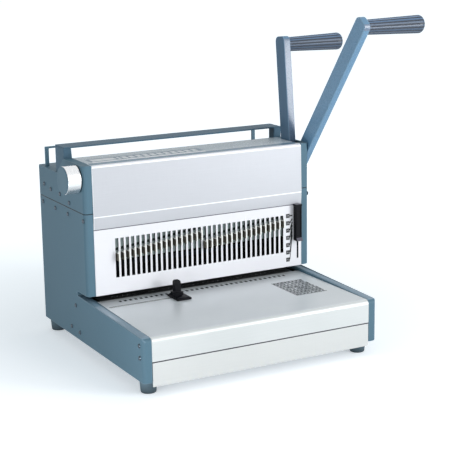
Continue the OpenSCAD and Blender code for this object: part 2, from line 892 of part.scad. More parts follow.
// Crank arm on the main shaft; its pin points away from the middle
module crank() {
    difference() {
        union() {
            bar_x(crank_x - crank_t, crank_x, pivot_y, pivot_h, shaft_d + 2 * crank_wall);
            bar_x(crank_x - crank_t, crank_x, crank_pin_y, crank_pin_h, crank_pin_d + 2 * boss_wall);
            bar_x(crank_x, crank_x + yoke_t + 2 * free_gap, crank_pin_y, crank_pin_h, crank_pin_d);
        }
        bar_x(crank_x - crank_t - cut, crank_x + cut, pivot_y, pivot_h, shaft_d + 2 * run_gap);
    }
}

module crank_left() color(steel) on_left() crank();

module crank_right() color(steel) crank();

module punch_beam() {
    length = frame_x - slide_gap;
    color(steel) box([-length, beam_front, beam_low], [length, beam_back, beam_low + beam_h]);
}

// Plate on the beam with a fork for a crank pin
module yoke() {
    fork = crank_pin_d / 2 + free_gap;
    difference() {
        box([crank_x + free_gap, beam_front, beam_low + beam_h],
            [crank_x + free_gap + yoke_t, beam_back, crank_pin_h + crank_pin_d]);
        box([crank_x, pivot_y - crank_r - fork, crank_pin_h - fork],
            [crank_x + yoke_t + 2 * cut, beam_back + cut, crank_pin_h + fork]);
    }
}

module punch_yoke_left() color(steel) on_left() yoke();

module punch_yoke_right() color(steel) yoke();

// Punch pins, waiting in the guide just above the throat
module punch_pins() {
    color("#8f959b") for (i = [0 : slot_count - 1])
        translate([slot_x(i), pin_y, plate_low + pin_rest])
            cylinder(h = beam_low - plate_low - pin_rest, d = pin_d);
}

// Lever with a short arm whose pin draws the closer's side plate down
module closer_lever() {
    color(slate) difference() {
        union() {
            along_x(closer_x, closer_x + lever_t) {
                translate([pivot_y, pivot_h]) rotate(closer_tilt) lever_outline(closer_len);
                translate([pivot_y, pivot_h]) rotate(180 - closer_swing / 2)
                    translate([0, -closer_pin_d]) square([closer_arm_r, 2 * closer_pin_d]);
                translate([closer_pin_y, closer_pin_h]) circle(r = closer_pin_d);
            }
            at_pivot(closer_tilt) stud(closer_x, closer_len);
            bar_x(drive_x, closer_x, closer_pin_y, closer_pin_h, closer_pin_d);
        }
        bar_x(closer_x - cut, closer_x + lever_t + cut, pivot_y, pivot_h, shaft_d + 2 * run_gap);
    }
}

module closer_grip() color(black) at_pivot(closer_tilt) grip(closer_x, closer_len);

module closer_rail() {
    color(slate) box([-post_out, rail_front, rail_low], [post_out, rail_rear, rail_top]);
}

// Right-hand post, flared towards the middle at its foot
module post() {
    translate([0, rail_rear, 0]) rotate([90, 0, 0]) linear_extrude(rail_rear - rail_front)
        polygon([[post_out, post_low], [post_out, rail_low], [post_out - post_w, rail_low],
            [post_in, post_low]]);
}

module closer_post_left() color(slate) on_left() post();

module closer_post_right() color(slate) post();

module rod(low) {
    translate([rod_x, rail_y, low]) cylinder(h = post_low - low, d = rod_d);
}

// Left-hand rod, held below its guide by a collar
module closer_rod_left() {
    color(steel) on_left() {
        rod(drive_low);
        translate([rod_x, rail_y, drive_low]) cylinder(h = drive_bar_h, d = rod_d + 2 * rod_wall);
    }
}

module closer_rod_right() color(steel) rod(drive_top);

// Side plate from the closer lever's pin to the foot of the right-hand rod
module closer_drive() {
    fork = closer_pin_d / 2 + free_gap;
    upright_front = pivot_y - closer_arm_r - fork - drive_rim / 2;
    lug = rod_d / 2 + rod_wall / 2;
    color(steel) difference() {
        union() {
            box([drive_x, upright_front, drive_low], [drive_x + drive_t, rail_y + lug, drive_top]);
            box([drive_x, upright_front, drive_low],
                [drive_x + drive_t, closer_pin_y + fork + drive_rim, closer_pin_h + fork + drive_rim]);
            box([drive_x, rail_y - lug, drive_low], [rod_x + lug, rail_y + lug, drive_top]);
        }
        box([drive_x - cut, pivot_y - closer_arm_r - fork, closer_pin_h - fork],
            [drive_x + drive_t + cut, closer_pin_y + fork, closer_pin_h + fork]);
    }
}

// Sleeve of the size knob
module size_knob() {
    color(silver) difference() {
        bar_x(-outer_x - knob_len, -outer_x - slide_gap, knob_y, knob_h, knob_d);
        bar_x(-outer_x - knob_len - cut, -outer_x - knob_wall, knob_y, knob_h, knob_d - 2 * knob_wall);
        bar_x(-outer_x - knob_len, -outer_x, knob_y, knob_h, knob_shaft_d + 2 * run_gap);
    }
}

// Cap that fills the sleeve and grips the shaft
module knob_cap() {
    color(slate) difference() {
        bar_x(-outer_x - knob_len - cap_out, -outer_x - knob_wall, knob_y, knob_h,
            knob_d - 2 * knob_wall - 2 * run_gap);
        bar_x(-outer_x - knob_len + knob_shaft_in, -outer_x, knob_y, knob_h, knob_shaft_d + 2 * run_gap);
    }
}

module knob_shaft() {
    color(steel)
        bar_x(-outer_x - knob_len + knob_shaft_in, 2 * cam_w - frame_x, knob_y, knob_h, knob_shaft_d);
}

// Eccentric inside the left frame that limits the closing travel
module stop_cam() {
    color(steel) difference() {
        bar_x(slide_gap - frame_x, cam_w - frame_x, knob_y, knob_h + cam_offset, 2 * cam_r);
        bar_x(-frame_x, cam_w + cut - frame_x, knob_y, knob_h, knob_shaft_d + 2 * run_gap);
    }
}

module hook_carrier() {
    color("#cfd5d6") box([-frame_out, carrier_y, carrier_low],
        [frame_out, carrier_y + carrier_t, carrier_low + carrier_h]);
}

// Hook seen from the side: an arm through the slot and a prong at its end
module hook_outline() {
    inner = prong_t - hook_reach;
    polygon([[carrier_y, -hook_h], [-hook_reach, -hook_h], [-hook_reach, prong_h], [inner, prong_h],
        [inner, 0], [carrier_y, 0]]);
}

// Comb of hooks that climb along their strip, from slot number first
module hook_comb(first) {
    color("#c9c6b8") {
        for (i = [0 : hooks_per_comb - 1])
            translate([slot_x(first + i) - hook_t / 2, 0, hook_low + i * hook_rise / (hooks_per_comb - 1)])
                along_x(0, hook_t) hook_outline();
        translate([slot_x(first), comb_y, hook_low]) rotate([0, -comb_slope, 0])
            translate([-hook_t / 2, 0, comb_rim - hook_h])
                cube([comb_span / cos(comb_slope) + hook_t, comb_t, hook_h - 2 * comb_rim]);
    }
}

module hook_comb_left() hook_comb(0);

module hook_comb_right() hook_comb(hooks_per_comb);

// Handle in front of the plate, on a stem through its slot to the carrier
module size_slider() {
    stem_w = slider_slot_w - 2 * slide_gap;
    back = -2 * slide_gap;
    left = slider_x - slider_w / 2;
    right = slider_x + slider_w / 2;
    low = slider_top - slider_len;
    color(black) {
        box([left, -slider_out, low], [right, back, slider_top]);
        box([left, -slider_out - slider_toe, low], [right, -slider_out, low + slider_toe_h]);
        box([slider_slot_x - stem_w / 2, back, stem_top - stem_h],
            [slider_slot_x + stem_w / 2, carrier_y, stem_top]);
    }
}

// Foot and post of the guide, with a key in the table's groove
module edge_guide() {
    key_w = groove_w - 2 * slide_gap;
    back = -groove_y + guide_d / 2 - guide_lead;
    color(black) {
        box([-guide_x - guide_w / 2, back - guide_d, guide_foot_low],
            [guide_w / 2 - guide_x, back, guide_foot_low + guide_foot]);
        box([-guide_x - guide_post, -groove_y - guide_post / 2, guide_foot_low],
            [-guide_x, -groove_y + guide_post / 2, table_h + guide_h]);
        box([-guide_x - key_len / 2, -groove_y - key_w / 2, clamp_top],
            [key_len / 2 - guide_x, -groove_y + key_w / 2, guide_foot_low]);
    }
}

// Plate under the table that holds the edge guide down
module guide_clamp() {
    color(steel) box([-guide_x - clamp_w / 2, -groove_y - clamp_d / 2, clamp_top - clamp_t],
        [clamp_w / 2 - guide_x, -groove_y + clamp_d / 2, clamp_top]);
}

// Open tray that catches the punched chips
module waste_drawer() {
    color(steel) difference() {
        box([-tray_x, sheet_t - base_front, tray_low], [tray_x, tray_back, tray_top]);
        box([tray_wall - tray_x, sheet_t - base_front + tray_wall, tray_low + tray_wall],
            [tray_x - tray_wall, tray_back - tray_wall, drawer_top]);
    }
}

module drawer_front() {
    color(silver) box([free_gap - half_w, -base_front, -drawer_hang],
        [half_w - free_gap, sheet_t - base_front, drawer_top]);
}

side_panel_left();
side_panel_right();
end_cover_left();
end_cover_right();
front_cover();
front_plate();
top_panel();
rear_deck();
back_panel();
base_pan();
table();
die_block();
punch_guide();
paper_stop();
frame_left();
frame_right();
tie_bars();
shaft_bushes();
closer_bed();
rear_rest();
rod_guides();
foot_front_left();
foot_front_right();
foot_rear_left();
foot_rear_right();
side_screws();
back_screws();
punch_lever();
punch_grip();
lever_nut();
main_shaft();
crank_left();
crank_right();
punch_beam();
punch_yoke_left();
punch_yoke_right();
punch_pins();
closer_lever();
closer_grip();
closer_rail();
closer_post_left();
closer_post_right();
closer_rod_left();
closer_rod_right();
closer_drive();
size_knob();
knob_cap();
knob_shaft();
stop_cam();
hook_carrier();
hook_comb_left();
hook_comb_right();
size_slider();
edge_guide();
guide_clamp();
waste_drawer();
drawer_front();
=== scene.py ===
"""Looks of the wire binding machine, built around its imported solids. Lengths are in metres."""

import json
import math

import bpy
from mathutils import Matrix, Vector

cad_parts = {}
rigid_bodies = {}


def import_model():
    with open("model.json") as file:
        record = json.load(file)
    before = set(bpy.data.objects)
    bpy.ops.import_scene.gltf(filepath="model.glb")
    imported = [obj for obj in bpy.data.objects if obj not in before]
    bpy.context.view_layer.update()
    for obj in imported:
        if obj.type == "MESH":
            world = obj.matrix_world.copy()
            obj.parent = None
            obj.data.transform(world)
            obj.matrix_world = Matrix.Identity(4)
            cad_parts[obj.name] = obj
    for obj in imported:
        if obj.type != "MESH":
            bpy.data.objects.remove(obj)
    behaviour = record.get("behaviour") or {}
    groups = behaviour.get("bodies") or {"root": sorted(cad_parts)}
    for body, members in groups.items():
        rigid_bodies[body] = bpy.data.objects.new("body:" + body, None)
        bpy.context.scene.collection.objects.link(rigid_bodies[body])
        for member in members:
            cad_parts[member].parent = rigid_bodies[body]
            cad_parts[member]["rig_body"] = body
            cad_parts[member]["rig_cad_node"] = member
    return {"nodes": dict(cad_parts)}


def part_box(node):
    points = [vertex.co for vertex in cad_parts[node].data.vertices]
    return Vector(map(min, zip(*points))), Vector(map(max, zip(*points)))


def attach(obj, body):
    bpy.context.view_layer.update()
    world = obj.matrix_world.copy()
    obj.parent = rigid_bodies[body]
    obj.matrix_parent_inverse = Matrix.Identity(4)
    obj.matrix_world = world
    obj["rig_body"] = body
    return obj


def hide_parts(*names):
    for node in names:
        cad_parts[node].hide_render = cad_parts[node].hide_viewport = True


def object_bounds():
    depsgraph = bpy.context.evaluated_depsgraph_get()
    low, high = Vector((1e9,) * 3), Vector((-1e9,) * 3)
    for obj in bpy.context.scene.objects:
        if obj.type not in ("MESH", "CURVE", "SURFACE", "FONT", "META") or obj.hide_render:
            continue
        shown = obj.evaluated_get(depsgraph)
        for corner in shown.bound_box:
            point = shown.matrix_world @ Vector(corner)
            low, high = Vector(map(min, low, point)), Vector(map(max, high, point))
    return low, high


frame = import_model()
cad_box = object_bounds()


# Running gear
# Inside the housing two steel frames carry the shaft, cranks, punch beam, pins and die.
# The shafts and the die are ground in fine lines, and the heavy plates are oiled black oxide.
# The shafts run in turned brass bushes.

def shade(red, green, blue):
    """A colour as it is seen, 0 to 255, given as the linear colour that a shader takes."""
    seen = [level / 255 for level in (red, green, blue)]
    linear = [s / 12.92 if s <= 0.04045 else ((s + 0.055) / 1.055) ** 2.4 for s in seen]
    return (*linear, 1.0)


class Flow:
    """A socket in a material. Operators on it add Math nodes, and node adds any other kind."""

    def __init__(self, tree, socket=None):
        self.tree = tree
        self.socket = socket

    def node(self, kind, settings=None, inputs=None, output=0):
        made = self.tree.nodes.new(kind)
        for name, value in (settings or {}).items():
            setattr(made, name, value)
        for key, value in (inputs or {}).items():
            if isinstance(value, Flow):
                self.tree.links.new(value.socket, made.inputs[key])
            else:
                made.inputs[key].default_value = value
        return Flow(self.tree, made.outputs[output])

    def maths(self, operation, first, second=0.0):
        return self.node("ShaderNodeMath", {"operation": operation}, {0: first, 1: second})

    def axis(self, letter):
        """One coordinate of a place: X, Y or Z."""
        return self.node("ShaderNodeSeparateXYZ", inputs={"Vector": self}, output=letter)

    def ranged(self, start, end, first=0.0, last=1.0):
        """This value from start to end, spread from first to last and held beyond them."""
        inputs = {"Value": self, "From Min": start, "From Max": end}
        inputs.update({"To Min": first, "To Max": last})
        return self.node("ShaderNodeMapRange", inputs=inputs)

    def mixed(self, from_colour, to_colour):
        """The colour between two colours, at this value from 0 to 1."""
        inputs = {0: self, 6: from_colour, 7: to_colour}
        return self.node("ShaderNodeMix", {"data_type": "RGBA"}, inputs, 2)

    def into(self, socket):
        self.tree.links.new(self.socket, socket)

    def __add__(self, other):
        return self.maths("ADD", self, other)

    def __radd__(self, other):
        return self.maths("ADD", other, self)

    def __sub__(self, other):
        return self.maths("SUBTRACT", self, other)

    def __rsub__(self, other):
        return self.maths("SUBTRACT", other, self)

    def __mul__(self, other):
        return self.maths("MULTIPLY", self, other)

    def __truediv__(self, other):
        return self.maths("DIVIDE", self, other)

    def __mod__(self, other):
        return self.maths("FLOORED_MODULO", self, other)

    def __gt__(self, other):
        return self.maths("GREATER_THAN", self, other)

    def __lt__(self, other):
        return self.maths("LESS_THAN", self, other)

    def __abs__(self):
        return self.maths("ABSOLUTE", self)


def new_finish(name, **constants):
    """A new material with the same constants all over. Gives it, its shader and its place."""
    material = bpy.data.materials.new(name)
    material.use_nodes = True
    shader = material.node_tree.nodes["Principled BSDF"]
    for socket, value in constants.items():
        shader.inputs[socket.replace("_", " ")].default_value = value
    place = Flow(material.node_tree).node("ShaderNodeTexCoord", output="Object")
    return material, shader, place


def grain(place, scale, detail=3.0, stretch=(1.0, 1.0, 1.0)):
    """Even noise from 0 to 1. A stretch below 1 along an axis draws it out into lines."""
    spread = place.node("ShaderNodeMapping", inputs={"Vector": place, "Scale": stretch})
    return place.node(
        "ShaderNodeTexNoise", inputs={"Vector": spread, "Scale": scale, "Detail": detail}
    )


def relief(height, depth, strength, shader):
    """Raises the surface by a height from 0 to 1 over a depth in metres."""
    inputs = {"Height": height, "Distance": depth, "Strength": strength}
    height.node("ShaderNodeBump", inputs=inputs).into(shader.inputs["Normal"])


def dressed(node, finish):
    """A CAD node keeps its shape and takes a finish in its own material slots."""
    for holder in frame["nodes"][node].material_slots:
        holder.material = finish


ground_steel, shader, place = new_finish("ground_steel", Metallic=1.0)
lines = grain(place, 700, 3, (0.02, 1.0, 1.0))
stain = grain(place, 22, 4)
(lines * 0.65 + stain * 0.35).mixed(shade(112, 116, 120), shade(196, 199, 202)).into(
    shader.inputs["Base Color"]
)
(0.26 + lines * 0.16 + stain * 0.14).into(shader.inputs["Roughness"])
relief(lines, 0.00004, 0.5, shader)

for steel_node in (
    "main_shaft", "crank_left", "crank_right", "closer_rod_left", "closer_rod_right",
    "closer_drive", "rod_guides", "knob_shaft", "stop_cam", "guide_clamp", "die_block",
):
    dressed(steel_node, ground_steel)

black_oxide, shader, place = new_finish("black_oxide", Metallic=0.2, Specular_IOR_Level=0.12)
oil = grain(place, 45, 4)
lines = grain(place, 700, 2, (0.05, 1.0, 1.0))
(oil * 0.6 + lines * 0.4).mixed(shade(6, 7, 9), shade(22, 24, 28)).into(
    shader.inputs["Base Color"]
)
(0.46 + lines * 0.2 + oil * 0.1).into(shader.inputs["Roughness"])
relief(lines, 0.00004, 0.4, shader)
for black_node in (
    "frame_left", "frame_right", "tie_bars", "punch_guide", "paper_stop",
    "punch_beam", "punch_yoke_left", "punch_yoke_right", "punch_pins",
):
    dressed(black_node, black_oxide)

bush_brass, shader, place = new_finish("bush_brass", Metallic=1.0)
turning = grain(place, 900, 2, (0.03, 1.0, 1.0))
tarnish = grain(place, 60, 4)
tarnish.mixed(shade(205, 168, 96), shade(158, 118, 58)).into(shader.inputs["Base Color"])
(0.22 + tarnish * 0.25).into(shader.inputs["Roughness"])
relief(turning, 0.00003, 0.5, shader)
dressed("shaft_bushes", bush_brass)


# Base pan
# A tray of zinc coated sheet steel closes the housing from below and carries the feet.
# The coating shows as faint crystals, and the two pressed grooves stiffen the sheet.

zinc_sheet, shader, place = new_finish("zinc_sheet", Metallic=0.9)
crystal = place.node(
    "ShaderNodeTexVoronoi", inputs={"Vector": place, "Scale": 120.0}, output="Color"
)
crystal_tone = place.node("ShaderNodeSeparateColor", inputs={"Color": crystal})
fog = grain(place, 30, 4)
(crystal_tone * 0.6 + fog * 0.4).mixed(shade(138, 146, 151), shade(184, 190, 194)).into(
    shader.inputs["Base Color"]
)
(0.34 + crystal_tone * 0.14).into(shader.inputs["Roughness"])
relief(fog, 0.00008, 0.3, shader)
dressed("base_pan", zinc_sheet)


# Side panels and end covers
# Four hollow shells of folded sheet steel stand at the two ends, the covers above a seam.
# They are powder coated in slate with a fine orange peel, and their rounded edges take a paler
# copy of the coat as a painted highlight.
# The panels' lips beside the table are drawn down until they are almost level with it.

usual_peel = 0.35


def slate_coat(name, low, high, gloss, shine=0.25, seam=None, rough_peel=usual_peel):
    """Powder coat with a fine speckle, a broad drift of tone and an orange peel surface.

    Where two shells meet at a seam, the coat is painted dark in a narrow band, as painted shade in
    the gap between them.
    """
    coat, shader, place = new_finish(name, Specular_IOR_Level=shine)
    speckle = grain(place, 1500, 2)
    drift = grain(place, 7, 3)
    peel = grain(place, 520, 2)
    tone = speckle * 0.45 + drift * 0.4 + peel * 0.15
    colour = tone.mixed(low, high)
    if seam is not None:
        # Painted shade: a dark band along the seam, where the gap between the shells lies in
        # shade.
        seam_shade_half = 0.0007
        colour = (abs(place.axis("Z") - seam) < seam_shade_half).mixed(colour, shade(20, 29, 36))
    colour.into(shader.inputs["Base Color"])
    uneven = (peel * 0.1 + speckle * 0.06) * (rough_peel / usual_peel)
    (gloss + uneven).into(shader.inputs["Roughness"])
    relief(peel * 0.6 + speckle * 0.4, 0.00012, rough_peel, shader)
    return coat


def chosen(piece):
    """Makes one piece the only one that is selected, and the active one."""
    bpy.ops.object.select_all(action="DESELECT")
    piece.select_set(True)
    bpy.context.view_layer.objects.active = piece


def smoothed(piece):
    """Rounded edges shade smoothly and flat faces stay flat."""
    chosen(piece)
    bpy.ops.object.shade_smooth_by_angle(angle=math.radians(40))
    levelling = piece.modifiers.new("levelling", "WEIGHTED_NORMAL")
    levelling.keep_sharp = True
    bpy.ops.object.modifier_apply(modifier="levelling")


def bevelled(piece, width, turn, segments=3, slide=True, finish=-1):
    """Rounds the edges of the active piece that turn by more than an angle in degrees."""
    rounding = piece.modifiers.new("rounding", "BEVEL")
    rounding.width = width
    rounding.segments = segments
    rounding.limit_method = "ANGLE"
    rounding.angle_limit = math.radians(turn)
    rounding.loop_slide = slide
    rounding.material = finish
    bpy.ops.object.modifier_apply(modifier="rounding")
    smoothed(piece)


merge_distance = 0.00001
usual_turn = 30.0


def softened(node, width, finishes, turn=usual_turn):
    """A copy of a CAD node with its edges rounded, which stands for the node.

    The first finish covers the faces, and a second one the rounded edges.
    """
    chosen(frame["nodes"][node])
    bpy.ops.object.duplicate()
    piece = bpy.context.active_object
    piece.name = node + "_dressed"
    body = piece["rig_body"]
    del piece["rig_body"]
    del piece["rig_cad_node"]
    piece.parent = None
    piece.data.materials.clear()
    for finish in finishes:
        piece.data.materials.append(finish)
    bpy.ops.object.mode_set(mode="EDIT")
    bpy.ops.mesh.select_all(action="SELECT")
    bpy.ops.mesh.remove_doubles(threshold=merge_distance)
    bpy.ops.mesh.dissolve_limited(angle_limit=math.radians(0.5))
    bpy.ops.object.mode_set(mode="OBJECT")
    bevelled(piece, width, turn, slide=False, finish=len(finishes) - 1)
    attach(piece, body)
    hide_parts(node)
    return piece


square_on = 0.9
shell_round = 0.0012
seam_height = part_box("side_panel_left")[1].z
slate_low = shade(73, 105, 122)
slate_high = shade(97, 127, 143)
# The edge colours are a paler copy of the slate, painted on rounded edges as a painted highlight.
edge_highlight_low = shade(90, 119, 136)
edge_highlight_high = shade(113, 140, 155)
shell_coat = slate_coat("shell_paint", slate_low, slate_high, 0.44, 0.2, seam_height)
shell_edge_highlight = slate_coat("shell_paint_edge_highlight", edge_highlight_low, edge_highlight_high, 0.36, 0.25, seam_height)
for end_cover in ("end_cover_left", "end_cover_right"):
    softened(end_cover, shell_round, [shell_coat, shell_edge_highlight])

# A paler, glossier slate: on the side panels' lips a painted highlight, on the cover's top return
# painted shade.
shell_top_light_and_shade = slate_coat(
    "shell_paint_top_light_and_shade", shade(118, 146, 166), shade(140, 166, 184), 0.2, 0.5, rough_peel=0.2
)
table_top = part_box("table")[1].z
lip_low = table_top - 0.0025
lip_high = table_top + 0.009
slit_back = 0.0405
lip_drop = 0.002
lip_taper = 0.0035
lip_fall = lip_taper / (slit_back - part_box("side_panel_left")[0].y)
for side_panel in ("side_panel_left", "side_panel_right"):
    panel = softened(side_panel, shell_round, [shell_coat, shell_edge_highlight])
    panel.data.materials.append(shell_top_light_and_shade)
    for corner in panel.data.vertices:
        if lip_low < corner.co.z < lip_high and corner.co.y < slit_back:
            corner.co.z -= lip_drop + lip_fall * (slit_back - corner.co.y)
    smoothed(panel)
    # The upward faces of the lips take the paler top coat as a painted highlight.
    for face in panel.data.polygons:
        on_lip = face.center.y < slit_back and face.center.z < lip_high
        if on_lip and face.normal.z > square_on:
            face.material_index = 2


# Top panel, rear deck and back panel
# Folded sheets between the end covers: the flat top, the sloped deck behind it and the back.
# The deck and the back carry the same slate coat as the ends, and all are screwed to the inner
# frames.

slate = slate_coat("slate_paint", slate_low, slate_high, 0.4)
# The rounded edges of these sheets take the paler edge copy as a painted highlight.
slate_edge_highlight = slate_coat("slate_paint_edge_highlight", edge_highlight_low, edge_highlight_high, 0.34)
# The flat top takes a much paler, glossier copy of the slate as a painted sheen.
top_painted_sheen = slate_coat(
    "top_paint_painted_sheen", shade(204, 215, 223), shade(226, 235, 241), 0.22, 0.5, rough_peel=0.2
)
softened("top_panel", 0.0005, [top_painted_sheen, slate_edge_highlight])
softened("rear_deck", 0.0004, [slate, slate_edge_highlight])
softened("back_panel", 0.0006, [slate, slate_edge_highlight])


# Front cover
# A deep sheet of silver lacquered aluminium, creased along its length and returned at the top.
# The lacquer lies over a fine rolled grain. A painted highlight runs along the crease and below
# the top fold, a painted shade line runs along the lower edge, and the narrow return lies in
# painted shade.

def silver_coat(name, low, high, gloss, metal, shade_line_at=None, highlight_line_at=None, highlight_above=None):
    """Silver lacquer over a grain that runs along the machine, with fine flake in it.

    A sheet can have a painted shade line and a painted highlight line at two heights, and a
    painted highlight above a fold.
    """
    coat, shader, place = new_finish(name, Metallic=metal, Specular_IOR_Level=0.3)
    rolled = grain(place, 900, 3, (0.03, 1.0, 1.0))
    woven = grain(place, 900, 3, (1.0, 1.0, 0.05))
    flake = grain(place, 2600, 1)
    drift = grain(place, 5, 2)
    tone = rolled * 0.35 + woven * 0.2 + flake * 0.25 + drift * 0.2
    colour = tone.mixed(low, high)
    upward = place.axis("Z")
    highlight_half = 0.0008
    shade_line_half = 0.0006
    if highlight_line_at is not None:
        colour = (abs(upward - highlight_line_at) < highlight_half).mixed(colour, shade(238, 239, 243))
    if highlight_above is not None:
        colour = (upward > highlight_above).mixed(colour, shade(232, 233, 238))
    if shade_line_at is not None:
        colour = (abs(upward - shade_line_at) < shade_line_half).mixed(colour, shade(92, 92, 102))
    colour.into(shader.inputs["Base Color"])
    (gloss + rolled * 0.1 + flake * 0.08).into(shader.inputs["Roughness"])
    relief(rolled * 0.6 + woven * 0.4, 0.00003, 0.4, shader)
    return coat


cover_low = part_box("front_cover")[0].z
crease_rise = 0.019
crease_height = cover_low + crease_rise
crease_turn = 12.0
fold_highlight_depth = 0.004
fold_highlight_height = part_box("front_cover")[1].z - fold_highlight_depth
flat_top = 0.97
# The cover's coat has a painted shade line at its lower edge and painted highlights on the crease
# and below the top fold.
silver = silver_coat(
    "silver_paint", shade(178, 180, 186), shade(200, 202, 207), 0.36, 0.3,
    cover_low, crease_height, fold_highlight_height,
)
# The cover's rounded edges take a near-white copy as a painted highlight.
silver_edge_highlight = silver_coat(
    "silver_paint_edge_highlight", shade(242, 244, 248), shade(250, 251, 253), 0.3, 0.1, cover_low
)
cover = softened("front_cover", 0.0006, [silver, silver_edge_highlight], crease_turn)
cover.data.materials.append(shell_top_light_and_shade)
# The narrow top return takes the darker slate top coat as painted shade.
for face in cover.data.polygons:
    if face.normal.z > flat_top:
        face.material_index = 2


# Front plate
# A white lacquered steel plate below the cover, with a row of slots for the hooks and a long
# slit for the size slider. It is punched, so the edges of the slots are slightly rolled in.

# The plate's lacquer has a painted shade line just below the cover's lower edge.
white_lacquer = silver_coat(
    "white_lacquer", shade(223, 223, 228), shade(236, 236, 240), 0.36, 0.1, cover_low
)
plate = softened("front_plate", 0.00015, [white_lacquer])
plate.data.materials.append(black_oxide)
plate_low, plate_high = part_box("front_plate")
# The walls inside the slots take black oxide as painted shade.
rim = 0.001
for face in plate.data.polygons:
    across_plate = abs(face.normal.y) < 0.3
    inside = plate_low.z + rim < face.center.z < plate_high.z - rim / 2
    inside = inside and abs(face.center.x) < plate_high.x - rim
    if across_plate and inside:
        face.material_index = 1


# Hooks and their carrier
# Two combs of thin bright hooks hold the wire while the paper is hung on it.
# They are stamped from spring steel and stand in front of a pale carrier plate, painted dark in a
# raked band just above their tips as painted shade.

wire_pitch = 0.0254 / 3
comb_spaces = 16
comb_rise = 0.015
hook_rake = comb_rise / (comb_spaces * wire_pitch)
hook_half = 0.0012
first_tip = 0.140
glint_start = 0.0032
glint_end = 0.0046


def hook_metal(name, node):
    """Spring steel with a dull khaki passivation, painted bright along the raked tips as a painted
    glint.
    """
    metal, shader, place = new_finish(name)
    first_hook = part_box(node)[0].x + hook_half
    below_tip = first_tip + (place.axis("X") - first_hook) * hook_rake - place.axis("Z")
    tip_glint = below_tip.ranged(glint_start, glint_end, 1.0, 0.0)
    stamped = grain(place, 800, 3, (1.0, 0.1, 1.0))
    dull = stamped.mixed(shade(74, 70, 60), shade(134, 129, 114))
    glint_colour = stamped.mixed(shade(232, 233, 230), shade(252, 252, 251))
    tip_glint.mixed(dull, glint_colour).into(shader.inputs["Base Color"])
    (0.85 - tip_glint * 0.8).into(shader.inputs["Metallic"])
    (0.3 - tip_glint * 0.12 + stamped * 0.16).into(shader.inputs["Roughness"])
    relief(stamped, 0.00004, 0.4, shader)
    return metal


# The front and top faces of the hooks take a near-white copy as a painted highlight.
hook_face_highlight, shader, place = new_finish("hook_face_highlight", Metallic=0.1)
stamped = grain(place, 800, 3, (1.0, 0.1, 1.0))
stamped.mixed(shade(226, 226, 220), shade(250, 250, 247)).into(shader.inputs["Base Color"])
(0.24 + stamped * 0.16).into(shader.inputs["Roughness"])
relief(stamped, 0.00004, 0.4, shader)
for comb_node in ("hook_comb_left", "hook_comb_right"):
    comb_metal = hook_metal(comb_node + "_metal", comb_node)
    comb = softened(comb_node, 0.0003, [comb_metal])
    comb.data.materials.append(hook_face_highlight)
    for face in comb.data.polygons:
        if face.normal.y < -0.6 or face.normal.z > 0.6:
            face.material_index = 1

carrier_coat, shader, place = new_finish("carrier_coat", Metallic=0.4)
dull = grain(place, 300, 3)
along = place.axis("X")
left_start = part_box("hook_comb_left")[0].x + hook_half
right_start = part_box("hook_comb_right")[0].x + hook_half
comb_gap = 0.004
comb_start = left_start + (along > right_start - comb_gap) * (right_start - left_start)
above_tip = place.axis("Z") - first_tip - (along - comb_start) * hook_rake
tip_shade_under = 0.0014
tip_shade_over = 0.0026
# A raked band just above the hook tips is painted dark on the carrier, as painted shade.
tip_shade = (above_tip > -tip_shade_under) * (above_tip < tip_shade_over)
coat_tone = dull.mixed(shade(166, 183, 181), shade(194, 208, 205))
(tip_shade * 0.9).mixed(coat_tone, shade(16, 20, 22)).into(shader.inputs["Base Color"])
(0.4 + dull * 0.2).into(shader.inputs["Roughness"])
relief(dull, 0.00005, 0.3, shader)
softened("hook_carrier", 0.0004, [carrier_coat])


# Size slider
# A moulded black thumb piece on the front plate that sets how high the hooks stand.
# It has a lipped cap, a flared toe and a stem that goes through the slit to the carrier.

def moulded_black(name, low, high, gloss, shine):
    """Black plastic with the fine, even texture of a moulding tool."""
    plastic, shader, place = new_finish(name, Specular_IOR_Level=shine)
    spark = grain(place, 1800, 2)
    cloud = grain(place, 40, 3)
    (spark * 0.6 + cloud * 0.4).mixed(low, high).into(shader.inputs["Base Color"])
    (gloss + spark * 0.14).into(shader.inputs["Roughness"])
    relief(spark, 0.00006, 0.4, shader)
    return plastic


def pick(test):
    """In edit mode, selects only the faces whose middle and normal pass a test."""
    bpy.ops.mesh.select_all(action="DESELECT")
    bpy.ops.object.mode_set(mode="OBJECT")
    mesh = bpy.context.active_object.data
    for face in mesh.polygons:
        face.select = test(face.center, face.normal)
    bpy.ops.object.mode_set(mode="EDIT")


def drawn_out(move, scale=(1.0, 1.0, 1.0)):
    """Extrudes the selected faces by a move and then scales them about their own middle."""
    bpy.ops.mesh.extrude_region_move(TRANSFORM_OT_translate={"value": move})
    if scale != (1.0, 1.0, 1.0):
        bpy.ops.object.mode_set(mode="OBJECT")
        mesh = bpy.context.active_object.data
        ends = [v.co for v in mesh.vertices if v.select]
        middle = sum(ends, Vector()) / len(ends)
        bpy.ops.object.mode_set(mode="EDIT")
        bpy.ops.transform.resize(value=scale, center_override=middle)


def welded(test):
    """Joins the loose shell that holds the faces that pass a test to the rest, as one skin."""
    pick(test)
    bpy.ops.mesh.select_linked()
    bpy.ops.mesh.intersect_boolean(operation="UNION", solver="EXACT")


def added_box(size, middle):
    """In edit mode, adds a box as a loose shell around a middle point."""
    bpy.ops.mesh.select_all(action="DESELECT")
    bpy.ops.mesh.primitive_cube_add(size=1.0)
    bpy.ops.transform.resize(value=size, center_override=(0, 0, 0))
    bpy.ops.transform.translate(value=middle)


